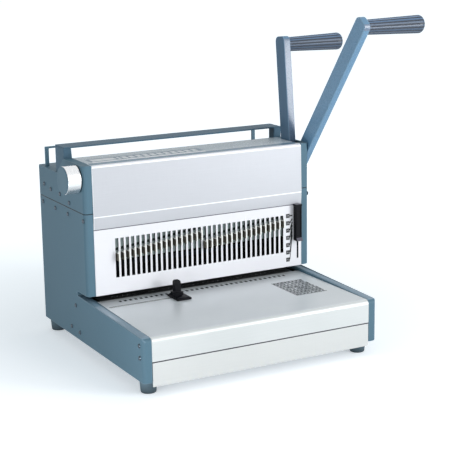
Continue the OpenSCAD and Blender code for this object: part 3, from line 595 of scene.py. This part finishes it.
def block(name, low, high):
    """A box from its lowest to its highest corner, as a start, left in edit mode."""
    bpy.ops.object.select_all(action="DESELECT")
    bpy.ops.mesh.primitive_cube_add(size=1.0)
    piece = bpy.context.active_object
    piece.name = name
    piece.scale = [h - l for l, h in zip(low, high)]
    piece.location = [(h + l) / 2 for l, h in zip(low, high)]
    bpy.ops.object.transform_apply(location=True, rotation=True, scale=True)
    bpy.ops.object.mode_set(mode="EDIT")
    bpy.ops.mesh.select_mode(type="FACE")
    return piece


def rounded_off(piece, width, segments=3):
    """Leaves edit mode and rounds the edges of a modelled piece."""
    bpy.ops.mesh.select_all(action="SELECT")
    bpy.ops.mesh.remove_doubles(threshold=merge_distance)
    bpy.ops.mesh.normals_make_consistent(inside=False)
    bpy.ops.object.mode_set(mode="OBJECT")
    bevelled(piece, width, usual_turn, segments)


slider_low, slider_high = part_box("size_slider")
toe_height = 0.005
cap_height = 0.0035
cap_step = 0.0003
cap_under = slider_high.z - cap_height
lip = 0.0016
set_back = 0.0035
dish_low = slider_low.z + 0.02
dish_rim = 0.0018
dish_depth = 0.0009
plate_front = plate_low.y
plate_gap = 0.0006
slit_middle = 0.1683
stem_size = (0.0018, 0.0118, 0.03)
stem_middle = (slit_middle, -plate_gap, slider_low.z + 0.026)
highlight_rise = 0.0015
highlight_depth = 0.0006
black_plastic = moulded_black("black_plastic", shade(4, 5, 9), shade(13, 15, 22), 0.34, 0.12)

slider = block(
    "size_slider_thumb",
    (slider_low.x + lip, slider_low.y + set_back, slider_low.z + toe_height),
    (slider_high.x - lip, plate_front - plate_gap, cap_under),
)
pick(lambda middle, normal: normal.z > square_on)
drawn_out((0, 0, cap_step), (1.1, 1.08, 1.0))
drawn_out((0, 0, cap_height - cap_step))
pick(lambda middle, normal: normal.z < -square_on)
drawn_out((0, -0.0008, -0.0016), (1.06, 1.1, 1.0))
drawn_out((0, -0.0016, -0.0034), (1.03, 1.1, 1.0))
pick(lambda middle, normal: normal.y < -square_on and dish_low < middle.z < cap_under)
bpy.ops.mesh.inset(thickness=dish_rim)
drawn_out((0, dish_depth, 0))
added_box(stem_size, stem_middle)
welded(lambda middle, normal: normal.y > square_on and middle.y > plate_front)
rounded_off(slider, 0.0005)
slider.data.materials.append(black_plastic)
# The front of the toe and the top of the cap take a paler copy of the plastic as a painted
# highlight.
plastic_highlight = moulded_black("black_plastic_highlight", shade(58, 58, 68), shade(96, 94, 108), 0.3, 0.3)
slider.data.materials.append(plastic_highlight)
for face in slider.data.polygons:
    on_toe = slider_low.z + highlight_rise < face.center.z < slider_low.z + toe_height
    on_cap = face.center.z > slider_high.z - highlight_depth
    if (on_toe and face.normal.y < -0.5) or (on_cap and face.normal.z > 0.5):
        face.material_index = 1
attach(slider, "hook_slide")
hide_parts("size_slider")


# Size scale
# A column of plain numbers in dark boxes is printed on the front plate beside the slider.
# Guide lines lead from each box to the height at which the slider's mark stands for it.

scale_sizes = (14, 13, 11, 10, 8, 6, 5)
scale_x = 0.1507
scale_top = 0.1566
scale_step = 0.0117
box_side = 0.0064
box_line = 0.0004
ink_rise = 0.00006
ink_round = 0.00001
line_gap = 0.0003
line_tip = 0.0002
line_end_x = slider_low.x - 0.0004
first_mark = slider_high.z - 0.0186
mark_step = 0.0052
bold_lines = 4
bold_half = 0.00095
fine_half = 0.0006
figure_size = 0.0034
figure_rise = 0.00002
ink, shader, place = new_finish("scale_ink", Roughness=0.5)
worn = grain(place, 900, 3)
worn.mixed(shade(5, 6, 9), shade(20, 23, 28)).into(shader.inputs["Base Color"])
pale_ink, shader, place = new_finish("scale_ink_pale", Roughness=0.5)
worn = grain(place, 900, 3)
worn.mixed(shade(226, 228, 232), shade(246, 247, 249)).into(shader.inputs["Base Color"])

scale_parts = []
for count, size in enumerate(scale_sizes):
    height = scale_top - count * scale_step
    frame_box = block(
        f"scale_box_{size}",
        (scale_x - box_side / 2, plate_front - ink_rise, height - box_side / 2),
        (scale_x + box_side / 2, plate_front, height + box_side / 2),
    )
    pick(lambda middle, normal: normal.y < -square_on)
    bpy.ops.mesh.inset(thickness=box_line)
    rounded_off(frame_box, ink_round, 1)
    frame_box.data.materials.append(ink)
    scale_parts.append(frame_box)

    line_start = Vector((scale_x + box_side / 2 + line_gap, plate_front, height))
    line_end = Vector((line_end_x, plate_front, first_mark - count * mark_step))
    line_half = bold_half if count < bold_lines else fine_half
    line_run = line_end - line_start
    guide_line = block(
        f"scale_line_{size}",
        (-line_run.length / 2, -ink_rise, -line_half),
        (line_run.length / 2, 0, line_half),
    )
    pick(lambda middle, normal: normal.x > square_on)
    drawn_out((line_tip, 0, 0), (1.0, 1.0, 0.8))
    rounded_off(guide_line, ink_round, 1)
    guide_line.rotation_euler = (0, -math.atan2(line_run.z, line_run.x), 0)
    guide_line.location = (line_start + line_end) / 2
    bpy.ops.object.transform_apply(location=True, rotation=True, scale=True)
    guide_line.data.materials.append(ink)
    scale_parts.append(guide_line)

    bpy.ops.object.select_all(action="DESELECT")
    bpy.ops.object.text_add(location=(0, 0, 0))
    figure = bpy.context.active_object
    figure.data.body = str(size)
    figure.data.size = figure_size
    figure.data.extrude = figure_rise
    figure.data.align_x = "CENTER"
    figure.data.align_y = "CENTER"
    bpy.ops.object.convert(target="MESH")
    figure = bpy.context.active_object
    figure.rotation_euler = (math.radians(90), 0, 0)
    figure.location = (scale_x, plate_front - ink_rise - figure_rise, height)
    bpy.ops.object.transform_apply(location=True, rotation=True, scale=True)
    figure.data.materials.clear()
    figure.data.materials.append(pale_ink)
    scale_parts.append(figure)

bpy.ops.object.select_all(action="DESELECT")
for part in scale_parts:
    part.select_set(True)
bpy.context.view_layer.objects.active = scale_parts[0]
bpy.ops.object.join()
size_scale = bpy.context.active_object
size_scale.name = "size_scale"
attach(size_scale, "machine")


# Paper table
# One sheet of satin aluminium forms the table, its rolled front edge and the apron below.
# Its rear edge has the row of punching marks, and a chart of plain fields is printed on it.

table_sheet, shader, place = new_finish("table_sheet", Metallic=0.25)
brushed = grain(place, 1100, 3, (0.02, 1.0, 1.0))
haze = grain(place, 9, 3)
tone = brushed * 0.4 + haze * 0.6
along = place.axis("X")
across = place.axis("Y")
upward = place.axis("Z")
top_skin = 0.0004
on_top = upward > table_top - top_skin
# The apron is painted darker than the top of the same sheet, as painted shade.
apron_painted_shade = tone.mixed(shade(200, 204, 204), shade(222, 225, 225))
sheet_colour = on_top.mixed(apron_painted_shade, tone.mixed(shade(218, 224, 228), shade(242, 245, 247)))

mark_reach = 0.1412
mark_y = -0.0048
mark_half_width = 0.0021
mark_half_depth = 0.0034
mark_near = abs(along % wire_pitch - wire_pitch / 2) < mark_half_width
mark_row = abs(across - mark_y) < mark_half_depth
marks = on_top * mark_near * mark_row * (abs(along) < mark_reach)

# The groove for the edge guide is painted dark as painted shade, drawn with the ink.
groove_y = -0.027
groove_half = 0.0026
groove_left = -0.166
groove_right = -0.04
groove_shade = on_top * (abs(across - groove_y) < groove_half)
groove_shade = groove_shade * (along > groove_left) * (along < groove_right)

chart_left = 0.098
chart_right = 0.151
chart_front = -0.113
chart_back = -0.037
chart_columns = 8
chart_rows = 8
column_rule = 0.0011
row_rule = 0.0018
column_width = (chart_right - chart_left) / chart_columns
row_depth = (chart_back - chart_front) / chart_rows
in_chart = (along > chart_left) * (along < chart_right)
in_chart = in_chart * (across > chart_front) * (across < chart_back) * on_top
column_place = (along - chart_left) % column_width
row_place = (across - chart_front) % row_depth
ruling = 1 - (column_place > column_rule) * (row_place > row_rule)
field_corner = place.node(
    "ShaderNodeVectorMath", {"operation": "SNAP"}, {0: place, 1: (column_width, row_depth, 1.0)}
)
field = place.node(
    "ShaderNodeTexWhiteNoise", {"noise_dimensions": "2D"}, {"Vector": field_corner}
)
text_rows = (row_place > 0.3 * row_depth) * (row_place < 0.86 * row_depth)
text_start = column_place > 0.26 * column_width
printed = text_rows * text_start * (column_place < (0.6 + field * 0.4) * column_width)
head_row = across > chart_back - row_depth
chart_ink = in_chart * (ruling * 0.92 + (printed * 0.85 + head_row * 0.15) * (1 - ruling))
# A narrow band along the foot of the apron is painted dark as painted shade in the gap to the
# drawer.
apron_shade_height = 0.0006
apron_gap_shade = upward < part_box("table")[0].z + apron_shade_height
apron_gap_shade.mixed(sheet_colour, shade(24, 30, 38)).into(shader.inputs["Base Color"])
(0.27 + brushed * 0.1 + haze * 0.06).into(shader.inputs["Roughness"])
relief(brushed, 0.00002, 0.25, shader)
ink_and_groove_shade = place.node(
    "ShaderNodeBsdfPrincipled",
    inputs={
        "Base Color": haze.mixed(shade(8, 12, 20), shade(26, 34, 46)),
        "Roughness": 0.6 + brushed * 0.2,
        "Specular IOR Level": 0.05,
    },
)
dark_lines = place.maths("MAXIMUM", marks, groove_shade * 0.8)
ink_and_shade = place.maths("MAXIMUM", chart_ink, dark_lines)
bare_sheet = Flow(table_sheet.node_tree, shader.outputs[0])
printed_and_shaded_sheet = place.node("ShaderNodeMixShader", inputs={0: ink_and_shade, 1: bare_sheet, 2: ink_and_groove_shade})
printed_and_shaded_sheet.into(table_sheet.node_tree.nodes["Material Output"].inputs["Surface"])
softened("table", 0.0006, [table_sheet])


# Edge guide
# A moulded black stop for the edge of the paper slides along a groove in the table.
# A round topped post stands on a stepped foot, and a clamp plate holds it from below.

guide_low, guide_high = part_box("edge_guide")
foot_under = table_top + 0.0003
foot_top = foot_under + 0.0028
foot_right = guide_high.x - 0.008
step_width = 0.0022
step_rise = 0.0014
collar_size = Vector((0.0145, 0.0145, 0.005))
collar_middle = Vector((-0.0575, groove_y, foot_top + 0.0028))
collar_top = collar_middle.z + collar_size.z / 2
neck_rise = 0.0006
shoulder_rise = 0.0022
crown_rise = 0.0012
post_rise = guide_high.z - collar_top - neck_rise - shoulder_rise - crown_rise
key_size = Vector((0.016, 0.002, 0.0046))
key_middle = Vector((-0.0555, groove_y, guide_low.z + key_size.z / 2))
key_sole = guide_low.z + 0.001
edge_guide = block(
    "edge_guide_stop",
    (guide_low.x, guide_low.y, foot_under),
    (foot_right, guide_high.y, foot_top),
)
pick(lambda middle, normal: normal.z > square_on)
bpy.ops.mesh.inset(thickness=step_width)
drawn_out((0, 0, step_rise))
added_box(collar_size, collar_middle)
pick(lambda middle, normal: normal.z > square_on and middle.z > collar_middle.z)
drawn_out((0, 0, neck_rise), (0.64, 0.7, 1.0))
drawn_out((0, 0, post_rise), (0.97, 0.97, 1.0))
drawn_out((0, 0, shoulder_rise), (0.9, 0.9, 1.0))
drawn_out((0, 0, crown_rise), (0.66, 0.66, 1.0))
welded(lambda middle, normal: middle.z > guide_high.z - crown_rise)
added_box(key_size, key_middle)
welded(lambda middle, normal: middle.z < key_sole)
rounded_off(edge_guide, 0.0006)
edge_guide.data.materials.append(black_plastic)
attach(edge_guide, "paper_guide")
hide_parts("edge_guide")


# Waste drawer
# The drawer below the table catches the punched chips. Its front is a lacquered plate that
# closes flush with the apron, and its tray is folded from thin zinc coated sheet.

drawer_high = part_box("drawer_front")[1].z
# A painted shade line runs along the top edge of the drawer front, under the apron.
drawer_coat = silver_coat(
    "drawer_paint", shade(201, 203, 202), shade(219, 221, 220), 0.36, 0.25, drawer_high
)
softened("drawer_front", 0.0005, [drawer_coat])
dressed("waste_drawer", zinc_sheet)


# Closer bar and rear rest
# The rail that presses the wire shut is a deep folded sheet on two flanged end cheeks, with a
# pressing bar under its rear edge, above a bed on the deck. All are painted steel, as is the
# thin rest behind them that keeps the sheets from sliding off.

rail_low, rail_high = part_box("closer_rail")
rail_sheet = 0.0022
rail_under = rail_high.z - rail_sheet
press_front = rail_high.y - 0.011
press_end = rail_high.x - 0.0026
fold_round = 0.0005
rail = block("closer_rail_folded", (rail_low.x, rail_low.y, rail_under), rail_high)
press_cuts = (
    ((0, press_front, 0), (0, 1, 0)),
    ((press_end, 0, 0), (1, 0, 0)),
    ((-press_end, 0, 0), (1, 0, 0)),
)
for cut_place, cut_normal in press_cuts:
    bpy.ops.mesh.select_all(action="SELECT")
    bpy.ops.mesh.bisect(plane_co=cut_place, plane_no=cut_normal)


def under_press(middle, normal):
    """Whether a face of the rail's underside lies where the pressing bar is."""
    return normal.z < -square_on and middle.y > press_front and abs(middle.x) < press_end


pick(under_press)
drawn_out((0, 0, rail_low.z - rail_under))
rounded_off(rail, fold_round)

cheek_low, cheek_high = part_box("closer_post_right")
cheek_sheet = 0.0022
flange_width = 0.012
flare = 0.003
cheek = block(
    "closer_post_right_folded",
    (cheek_high.x - cheek_sheet, cheek_low.y, cheek_low.z),
    (cheek_high.x, cheek_high.y, rail_under),
)
bpy.ops.mesh.select_all(action="SELECT")
bpy.ops.mesh.bisect(plane_co=(0, cheek_low.y + cheek_sheet, 0), plane_no=(0, 1, 0))
pick(lambda middle, normal: normal.x < -square_on and middle.y < cheek_low.y + cheek_sheet)
drawn_out((cheek_sheet - flange_width, 0, 0))
bpy.ops.object.mode_set(mode="OBJECT")
for corner in cheek.data.vertices:
    on_flange_edge = corner.co.x < cheek_high.x - flange_width / 2
    if on_flange_edge and corner.co.z < rail_under - cheek_sheet:
        corner.co.x -= flare
bpy.ops.object.mode_set(mode="EDIT")
rounded_off(cheek, fold_round)
chosen(cheek)
bpy.ops.object.duplicate()
cheek_left = bpy.context.active_object
cheek_left.name = "closer_post_left_folded"
cheek_left.scale = (-1, 1, 1)
bpy.ops.object.transform_apply(location=True, rotation=True, scale=True)
bpy.ops.object.mode_set(mode="EDIT")
bpy.ops.mesh.select_all(action="SELECT")
bpy.ops.mesh.normals_make_consistent(inside=False)
bpy.ops.object.mode_set(mode="OBJECT")
smoothed(cheek_left)
# The rail and its cheeks take a darker copy of the slate as painted shade.
closer_painted_shade = slate_coat("closer_paint_painted_shade", shade(66, 95, 114), shade(88, 117, 136), 0.44, 0.16)
closer_pieces = (
    (rail, "closer_rail"), (cheek, "closer_post_right"), (cheek_left, "closer_post_left")
)
for piece, node in closer_pieces:
    piece.data.materials.append(closer_painted_shade)
    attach(piece, "closer_bar")
    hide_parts(node)
softened("closer_bed", 0.0008, [slate, slate_edge_highlight])
softened("rear_rest", 0.0004, [slate, slate_edge_highlight])


# Levers
# Two flat bars of painted steel turn on the main shaft: the long one punches, the short one
# closes the wire. Their edges are broken by grinding before they are painted, and a plated
# nut holds the punch lever on the shaft.

# Paler edges and greyer, glossier front faces are a painted highlight; the closer lever's left
# face is darker as painted shade.
lever_blue = slate_coat("lever_paint", shade(93, 134, 166), shade(117, 158, 190), 0.2, 0.45)
lever_edge_highlight = slate_coat("lever_paint_edge_highlight", shade(106, 144, 172), shade(130, 165, 192), 0.18, 0.5)
lever_front_highlight = slate_coat("lever_paint_front_highlight", shade(94, 114, 138), shade(116, 135, 160), 0.2, 0.7)
lever_side_shade = slate_coat("lever_paint_side_shade", shade(70, 100, 126), shade(92, 122, 148), 0.4, 0.25)
lever_round = 0.002
lever_turn = 40.0
for lever_node in ("punch_lever", "closer_lever"):
    lever = softened(lever_node, lever_round, [lever_blue, lever_edge_highlight], lever_turn)
    lever.data.materials.append(lever_front_highlight)
    lever.data.materials.append(lever_side_shade)
    for face in lever.data.polygons:
        if face.normal.y < -0.8:
            face.material_index = 2
        elif face.normal.x < -square_on and lever_node == "closer_lever":
            face.material_index = 3

plated, shader, place = new_finish("plated_steel", Metallic=1.0)
speck = grain(place, 700, 3)
speck.mixed(shade(172, 178, 182), shade(224, 227, 230)).into(shader.inputs["Base Color"])
(0.2 + speck * 0.2).into(shader.inputs["Roughness"])
relief(speck, 0.00003, 0.3, shader)
softened("lever_nut", 0.0006, [plated])


# Lever grips
# Ribbed sleeves of dark rubbery plastic are pushed on the studs at the ends of the levers.
# They swell a little towards their free ends; their lands and upper sides are painted pale as a
# painted highlight, the flutes dark as painted shade.

flute_count = 16
flute_turn = math.radians(360 / flute_count)


def grip_rubber(name, node, lean):
    """Dark rubbery plastic, painted pale on the lands and most on the upper side as a painted
    highlight, dark in the flutes as painted shade.

    The lean is the angle in degrees at which the first flute stands.
    """
    rubber, shader, place = new_finish(name, Specular_IOR_Level=0.5)
    grip_low, grip_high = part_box(node)
    across = place.axis("Y") - (grip_low.y + grip_high.y) / 2
    upward = place.axis("Z") - (grip_low.z + grip_high.z) / 2
    angle = place.maths("ARCTAN2", across, upward)
    phase = ((angle - math.radians(lean)) / flute_turn + 0.5) % 1.0
    land_highlight = abs(phase - 0.5).ranged(0.14, 0.32)
    spark = grain(place, 1500, 2)
    worn = grain(place, 60, 3)
    upper_side_highlight = abs(angle).ranged(0.5, 1.3, 1.0, 0.3)
    tone = land_highlight * upper_side_highlight * 0.86 + spark * 0.07 + worn * 0.07
    tone.mixed(shade(4, 9, 20), shade(112, 142, 178)).into(shader.inputs["Base Color"])
    (0.46 - land_highlight * 0.22 + spark * 0.08).into(shader.inputs["Roughness"])
    relief(spark, 0.00004, 0.3, shader)
    return rubber


dressed("punch_grip", grip_rubber("punch_grip_rubber", "punch_grip", -37.6))
dressed("closer_grip", grip_rubber("closer_grip_rubber", "closer_grip", 5.6))


# Size knob
# The knob at the left end sets the closing size. A sleeve turned from bright aluminium is
# closed by a slate cap, and both sit on a steel shaft that carries the stop cam.

bright_metal, shader, place = new_finish("bright_metal", Metallic=0.9)
ringed = grain(place, 1600, 2, (1.0, 0.02, 0.02))
ringed.mixed(shade(226, 229, 232), shade(248, 249, 250)).into(shader.inputs["Base Color"])
(0.16 + ringed * 0.16).into(shader.inputs["Roughness"])
relief(ringed, 0.00003, 0.4, shader)


def turned(name, rings):
    """A round piece turned from bar: a disc drawn out along Z through (radius, height) rings."""
    bpy.ops.object.select_all(action="DESELECT")
    bpy.ops.mesh.primitive_circle_add(
        vertices=96, radius=rings[0][0], fill_type="NGON", location=(0, 0, 0)
    )
    piece = bpy.context.active_object
    piece.name = name
    bpy.ops.object.mode_set(mode="EDIT")
    bpy.ops.mesh.select_mode(type="FACE")
    bpy.ops.mesh.select_all(action="SELECT")
    bpy.ops.transform.translate(value=(0, 0, rings[0][1]))
    for (inner, start), (outer, end) in zip(rings, rings[1:]):
        drawn_out((0, 0, end - start), (outer / inner, outer / inner, 1.0))
    bpy.ops.mesh.select_all(action="SELECT")
    bpy.ops.mesh.normals_make_consistent(inside=False)
    bpy.ops.object.mode_set(mode="OBJECT")
    return piece


knob_low, knob_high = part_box("size_knob")
knob_middle = (0, (knob_low.y + knob_high.y) / 2, (knob_low.z + knob_high.z) / 2)
knob_back = -knob_high.x
knob_end = -knob_low.x
knob_radius = (knob_high.y - knob_low.y) / 2
gap_depth = 0.0015
hair = 0.00005
sleeve = turned("size_knob_sleeve", (
    (knob_radius - 0.0014, knob_back), (knob_radius - 0.0014, knob_back + gap_depth),
    (knob_radius - 0.0005, knob_back + gap_depth), (knob_radius, knob_back + 0.0021),
    (knob_radius, knob_end - 0.0013), (knob_radius - 0.0003, knob_end - 0.0008),
    (knob_radius - 0.0008, knob_end - 0.0006), (knob_radius - 0.0025, knob_end - 0.0006),
    (knob_radius - 0.0025, knob_back + 0.004),
))
sleeve.data.materials.append(bright_metal)
sleeve.data.materials.append(black_oxide)
# The sleeve's narrow back ring takes black oxide as painted shade in the gap before the housing.
for face in sleeve.data.polygons:
    face.material_index = 1 if face.center.z < knob_back + gap_depth + hair else 0
cap = turned("knob_cap_pressed", (
    (knob_radius - 0.0028, knob_back + 0.0045), (knob_radius - 0.0028, knob_end - 0.0002),
    (knob_radius - 0.0006, knob_end - 0.0002), (knob_radius - 0.0003, knob_end + 0.0001),
    (knob_radius - 0.0004, knob_end + 0.0005), (knob_radius - 0.0011, knob_end + 0.0008),
    (knob_radius - 0.004, knob_end + 0.0009), (knob_radius - 0.0048, knob_end + 0.0007),
))
cap.data.materials.append(slate)
for piece, node in ((sleeve, "size_knob"), (cap, "knob_cap")):
    piece.rotation_euler = (0, math.radians(-90), 0)
    piece.location = knob_middle
    chosen(piece)
    bpy.ops.object.transform_apply(location=True, rotation=True, scale=True)
    smoothed(piece)
    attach(piece, "knob")
    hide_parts(node)


# Screws
# Pan head screws of blued steel hold the side panels and the back panel to the frames.
# Their slots are cut, and the oiled blueing is rubbed bright where a driver has slipped.

blued_steel, shader, place = new_finish("blued_steel", Metallic=0.9)
rub = grain(place, 650, 3)
rub.mixed(shade(20, 28, 36), shade(112, 126, 138)).into(shader.inputs["Base Color"])
(0.18 + rub * 0.14).into(shader.inputs["Roughness"])
relief(rub, 0.00004, 0.3, shader)
dressed("side_screws", blued_steel)
dressed("back_screws", blued_steel)


# Feet
# Four feet of slate coloured rubber are screwed up into the base.
# They are moulded with a taper and are coloured darker towards their soles.

foot_rubber, shader, place = new_finish("foot_rubber", Specular_IOR_Level=0.3)
height = place.axis("Z").ranged(-0.02, -0.002)
dust = grain(place, 900, 3)
(height * 0.8 + dust * 0.2).mixed(shade(46, 56, 62), shade(104, 128, 141)).into(
    shader.inputs["Base Color"]
)
(0.5 + dust * 0.25).into(shader.inputs["Roughness"])
relief(dust, 0.0001, 0.4, shader)
foot_model = turned("foot_model", (
    (0.0098, -0.0200), (0.0104, -0.0197), (0.0109, -0.0188), (0.0113, -0.0150),
    (0.0118, -0.0090), (0.0123, -0.0030), (0.0125, -0.0008), (0.0125, 0.0),
))
foot_model.data.materials.append(foot_rubber)
smoothed(foot_model)

feet = ("foot_front_left", "foot_front_right", "foot_rear_left", "foot_rear_right")
for foot in feet:
    foot_low, foot_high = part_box(foot)
    chosen(foot_model)
    if foot != feet[-1]:
        bpy.ops.object.duplicate()
    stand = bpy.context.active_object
    stand.name = foot + "_turned"
    stand.location = ((foot_low.x + foot_high.x) / 2, (foot_low.y + foot_high.y) / 2, 0)
    bpy.ops.object.transform_apply(location=True, rotation=True, scale=True)
    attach(stand, "machine")
    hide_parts(foot)


# Deck label
# A thin printed strip is stuck along the front of the top panel. It has no words, only plain
# pale blocks in a row, a pale line in front of them and a fainter one behind.

label_left = -0.164
label_right = 0.020
label_front = 0.0195
label_back = 0.0505
label_rise = 0.00015
film_rise = 0.00003
film_rim = 0.0015
deck_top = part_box("top_panel")[1].z
deck_label = block(
    "deck_label",
    (label_left, label_front, deck_top),
    (label_right, label_back, deck_top + label_rise),
)
pick(lambda middle, normal: normal.z > square_on)
bpy.ops.mesh.inset(thickness=film_rim)
drawn_out((0, 0, film_rise))
rounded_off(deck_label, 0.00004, 2)
label_print, shader, place = new_finish("label_print", Specular_IOR_Level=0.25)
along = place.axis("X")
across = place.axis("Y")
fade = grain(place, 60, 3)
ground = fade.mixed(shade(138, 154, 167), shade(160, 174, 186))
margin = 0.004
field_width = 0.0115
field_gap = 0.0035
head_end = label_left + 0.042
field_across = (across > label_front + 0.0105) * (across < label_back - 0.005)
head_field = (along > label_left + margin) * (along < head_end) * field_across
fields = ((along - label_left - margin) % field_width > field_gap) * field_across
fields = fields * (along > head_end + margin) * (along < label_right - margin)
front_line = across < label_front + 0.0065
back_line = across > label_back - 0.002
pale_print = (head_field + fields) * 0.97 + front_line * 0.94 + back_line * 0.3
pale_print.mixed(ground, shade(250, 251, 253)).into(shader.inputs["Base Color"])
(0.3 + fade * 0.15).into(shader.inputs["Roughness"])
deck_label.data.materials.append(label_print)
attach(deck_label, "machine")


# Floor and light
# A plain white studio floor under the feet, lit by a large soft key from the front right,
# a narrow panel beside it that glints on the levers, and a low, weak fill from the left.
# A grey card behind on the right, which only mirrors, darkens that end of the table.

floor_height = cad_box[0][2]
floor_size = 60.0
# The floor glows for camera and glossy rays, dimmer near the machine, which deepens its shadow
# there as painted shade.
near_glow = 0.41
far_glow = 0.66
bpy.ops.object.select_all(action="DESELECT")
bpy.ops.mesh.primitive_plane_add(size=floor_size, location=(0, 0, floor_height))
floor = bpy.context.active_object
floor.name = "studio_floor"
floor_white, shader, place = new_finish("floor_white", Roughness=0.9, Specular_IOR_Level=0.0)
faint = grain(place, 3, 2)
faint.mixed(shade(243, 245, 247), shade(247, 248, 250)).into(shader.inputs["Base Color"])
seen = place.node("ShaderNodeLightPath", output="Is Camera Ray")
mirrored = place.node("ShaderNodeLightPath", output="Is Glossy Ray")
away = place.node("ShaderNodeVectorMath", {"operation": "LENGTH"}, {0: place}, "Value")
floor_glow = away.ranged(0.3, 1.0, near_glow, far_glow)
glow = place.node(
    "ShaderNodeEmission",
    inputs={"Strength": (seen + mirrored) * floor_glow, "Color": (0.91, 0.96, 1.0, 1.0)},
)
surface = Flow(floor_white.node_tree, shader.outputs[0])
lit = place.node("ShaderNodeAddShader", inputs={0: surface, 1: glow})
lit.into(floor_white.node_tree.nodes["Material Output"].inputs["Surface"])
floor.data.materials.append(floor_white)

studio = bpy.data.worlds.new("studio_white")
studio.use_nodes = True
bpy.context.scene.world = studio
air = Flow(studio.node_tree)
seen = air.node("ShaderNodeLightPath", output="Is Camera Ray")
mirrored = air.node("ShaderNodeLightPath", output="Is Glossy Ray")
ambient = 0.5
strength = ambient + (seen + mirrored) * (1 - ambient)
strength.into(studio.node_tree.nodes["Background"].inputs["Strength"])
air_tint = (seen + mirrored).mixed((0.9, 0.97, 1.0, 1.0), (1.0, 1.0, 1.0, 1.0))
air_tint.into(studio.node_tree.nodes["Background"].inputs["Color"])


def soft_panel(name, place, target, width, height, power):
    """A soft light panel that faces a target point."""
    bpy.ops.object.select_all(action="DESELECT")
    bpy.ops.object.light_add(type="AREA", location=place)
    panel = bpy.context.active_object
    panel.name = name
    panel.data.shape = "RECTANGLE"
    panel.data.size = width
    panel.data.size_y = height
    panel.data.energy = power
    panel.rotation_euler = (Vector(target) - Vector(place)).to_track_quat("-Z", "Y").to_euler()


soft_panel("key_panel", (1.0, -1.7, 1.15), (0.0, 0.0, 0.15), 1.3, 1.2, 12.4)
soft_panel("glint_panel", (1.15, -1.5, 0.5), (0.15, 0.0, 0.3), 0.45, 0.8, 12.0)
soft_panel("fill_panel", (-0.56, -0.40, 0.02), (-0.19, -0.15, 0.0), 0.25, 0.15, 1.4)

bpy.ops.object.select_all(action="DESELECT")
bpy.ops.mesh.primitive_plane_add(size=1.0, location=(0.62, 0.5, 0.14))
card = bpy.context.active_object
card.name = "studio_card"
card.rotation_euler = (math.radians(90), 0, math.radians(-33))
card.scale = (0.9, 0.3, 1.0)
card_grey, shader, place = new_finish("card_grey", Roughness=0.8, Specular_IOR_Level=0.0)
faint = grain(place, 6, 2)
faint.mixed(shade(70, 88, 96), shade(88, 106, 114)).into(shader.inputs["Base Color"])
card.data.materials.append(card_grey)
card.visible_camera = False
card.visible_diffuse = False
card.visible_shadow = False


# Camera
# It stands to the front left of the machine, a little above it, with a long lens.
# Its place and its three angles were fitted to the straight edges in the photograph.

scene = bpy.context.scene
scene.view_settings.view_transform = "Standard"
camera_place = (-0.8874, -1.7275, 0.6093)
focal_length = 106.05
turn_right = math.radians(28.217)
tip = math.radians(-13.026)
lean = math.radians(-0.852)
ahead = Vector(
    (
        math.sin(turn_right) * math.cos(tip),
        math.cos(turn_right) * math.cos(tip),
        math.sin(tip),
    )
)
level = Vector((math.cos(turn_right), -math.sin(turn_right), 0.0))
above = level.cross(ahead)
right = level * math.cos(lean) + above * math.sin(lean)
up = above * math.cos(lean) - level * math.sin(lean)
bpy.ops.object.select_all(action="DESELECT")
bpy.ops.object.camera_add(location=camera_place)
camera = bpy.context.active_object
camera.name = "photo_camera"
camera.data.sensor_width = 36.0
camera.data.lens = focal_length
camera.data.clip_end = 200.0
aim = Matrix((right, up, -ahead)).transposed()
camera.rotation_euler = aim.to_euler()
scene.camera = camera
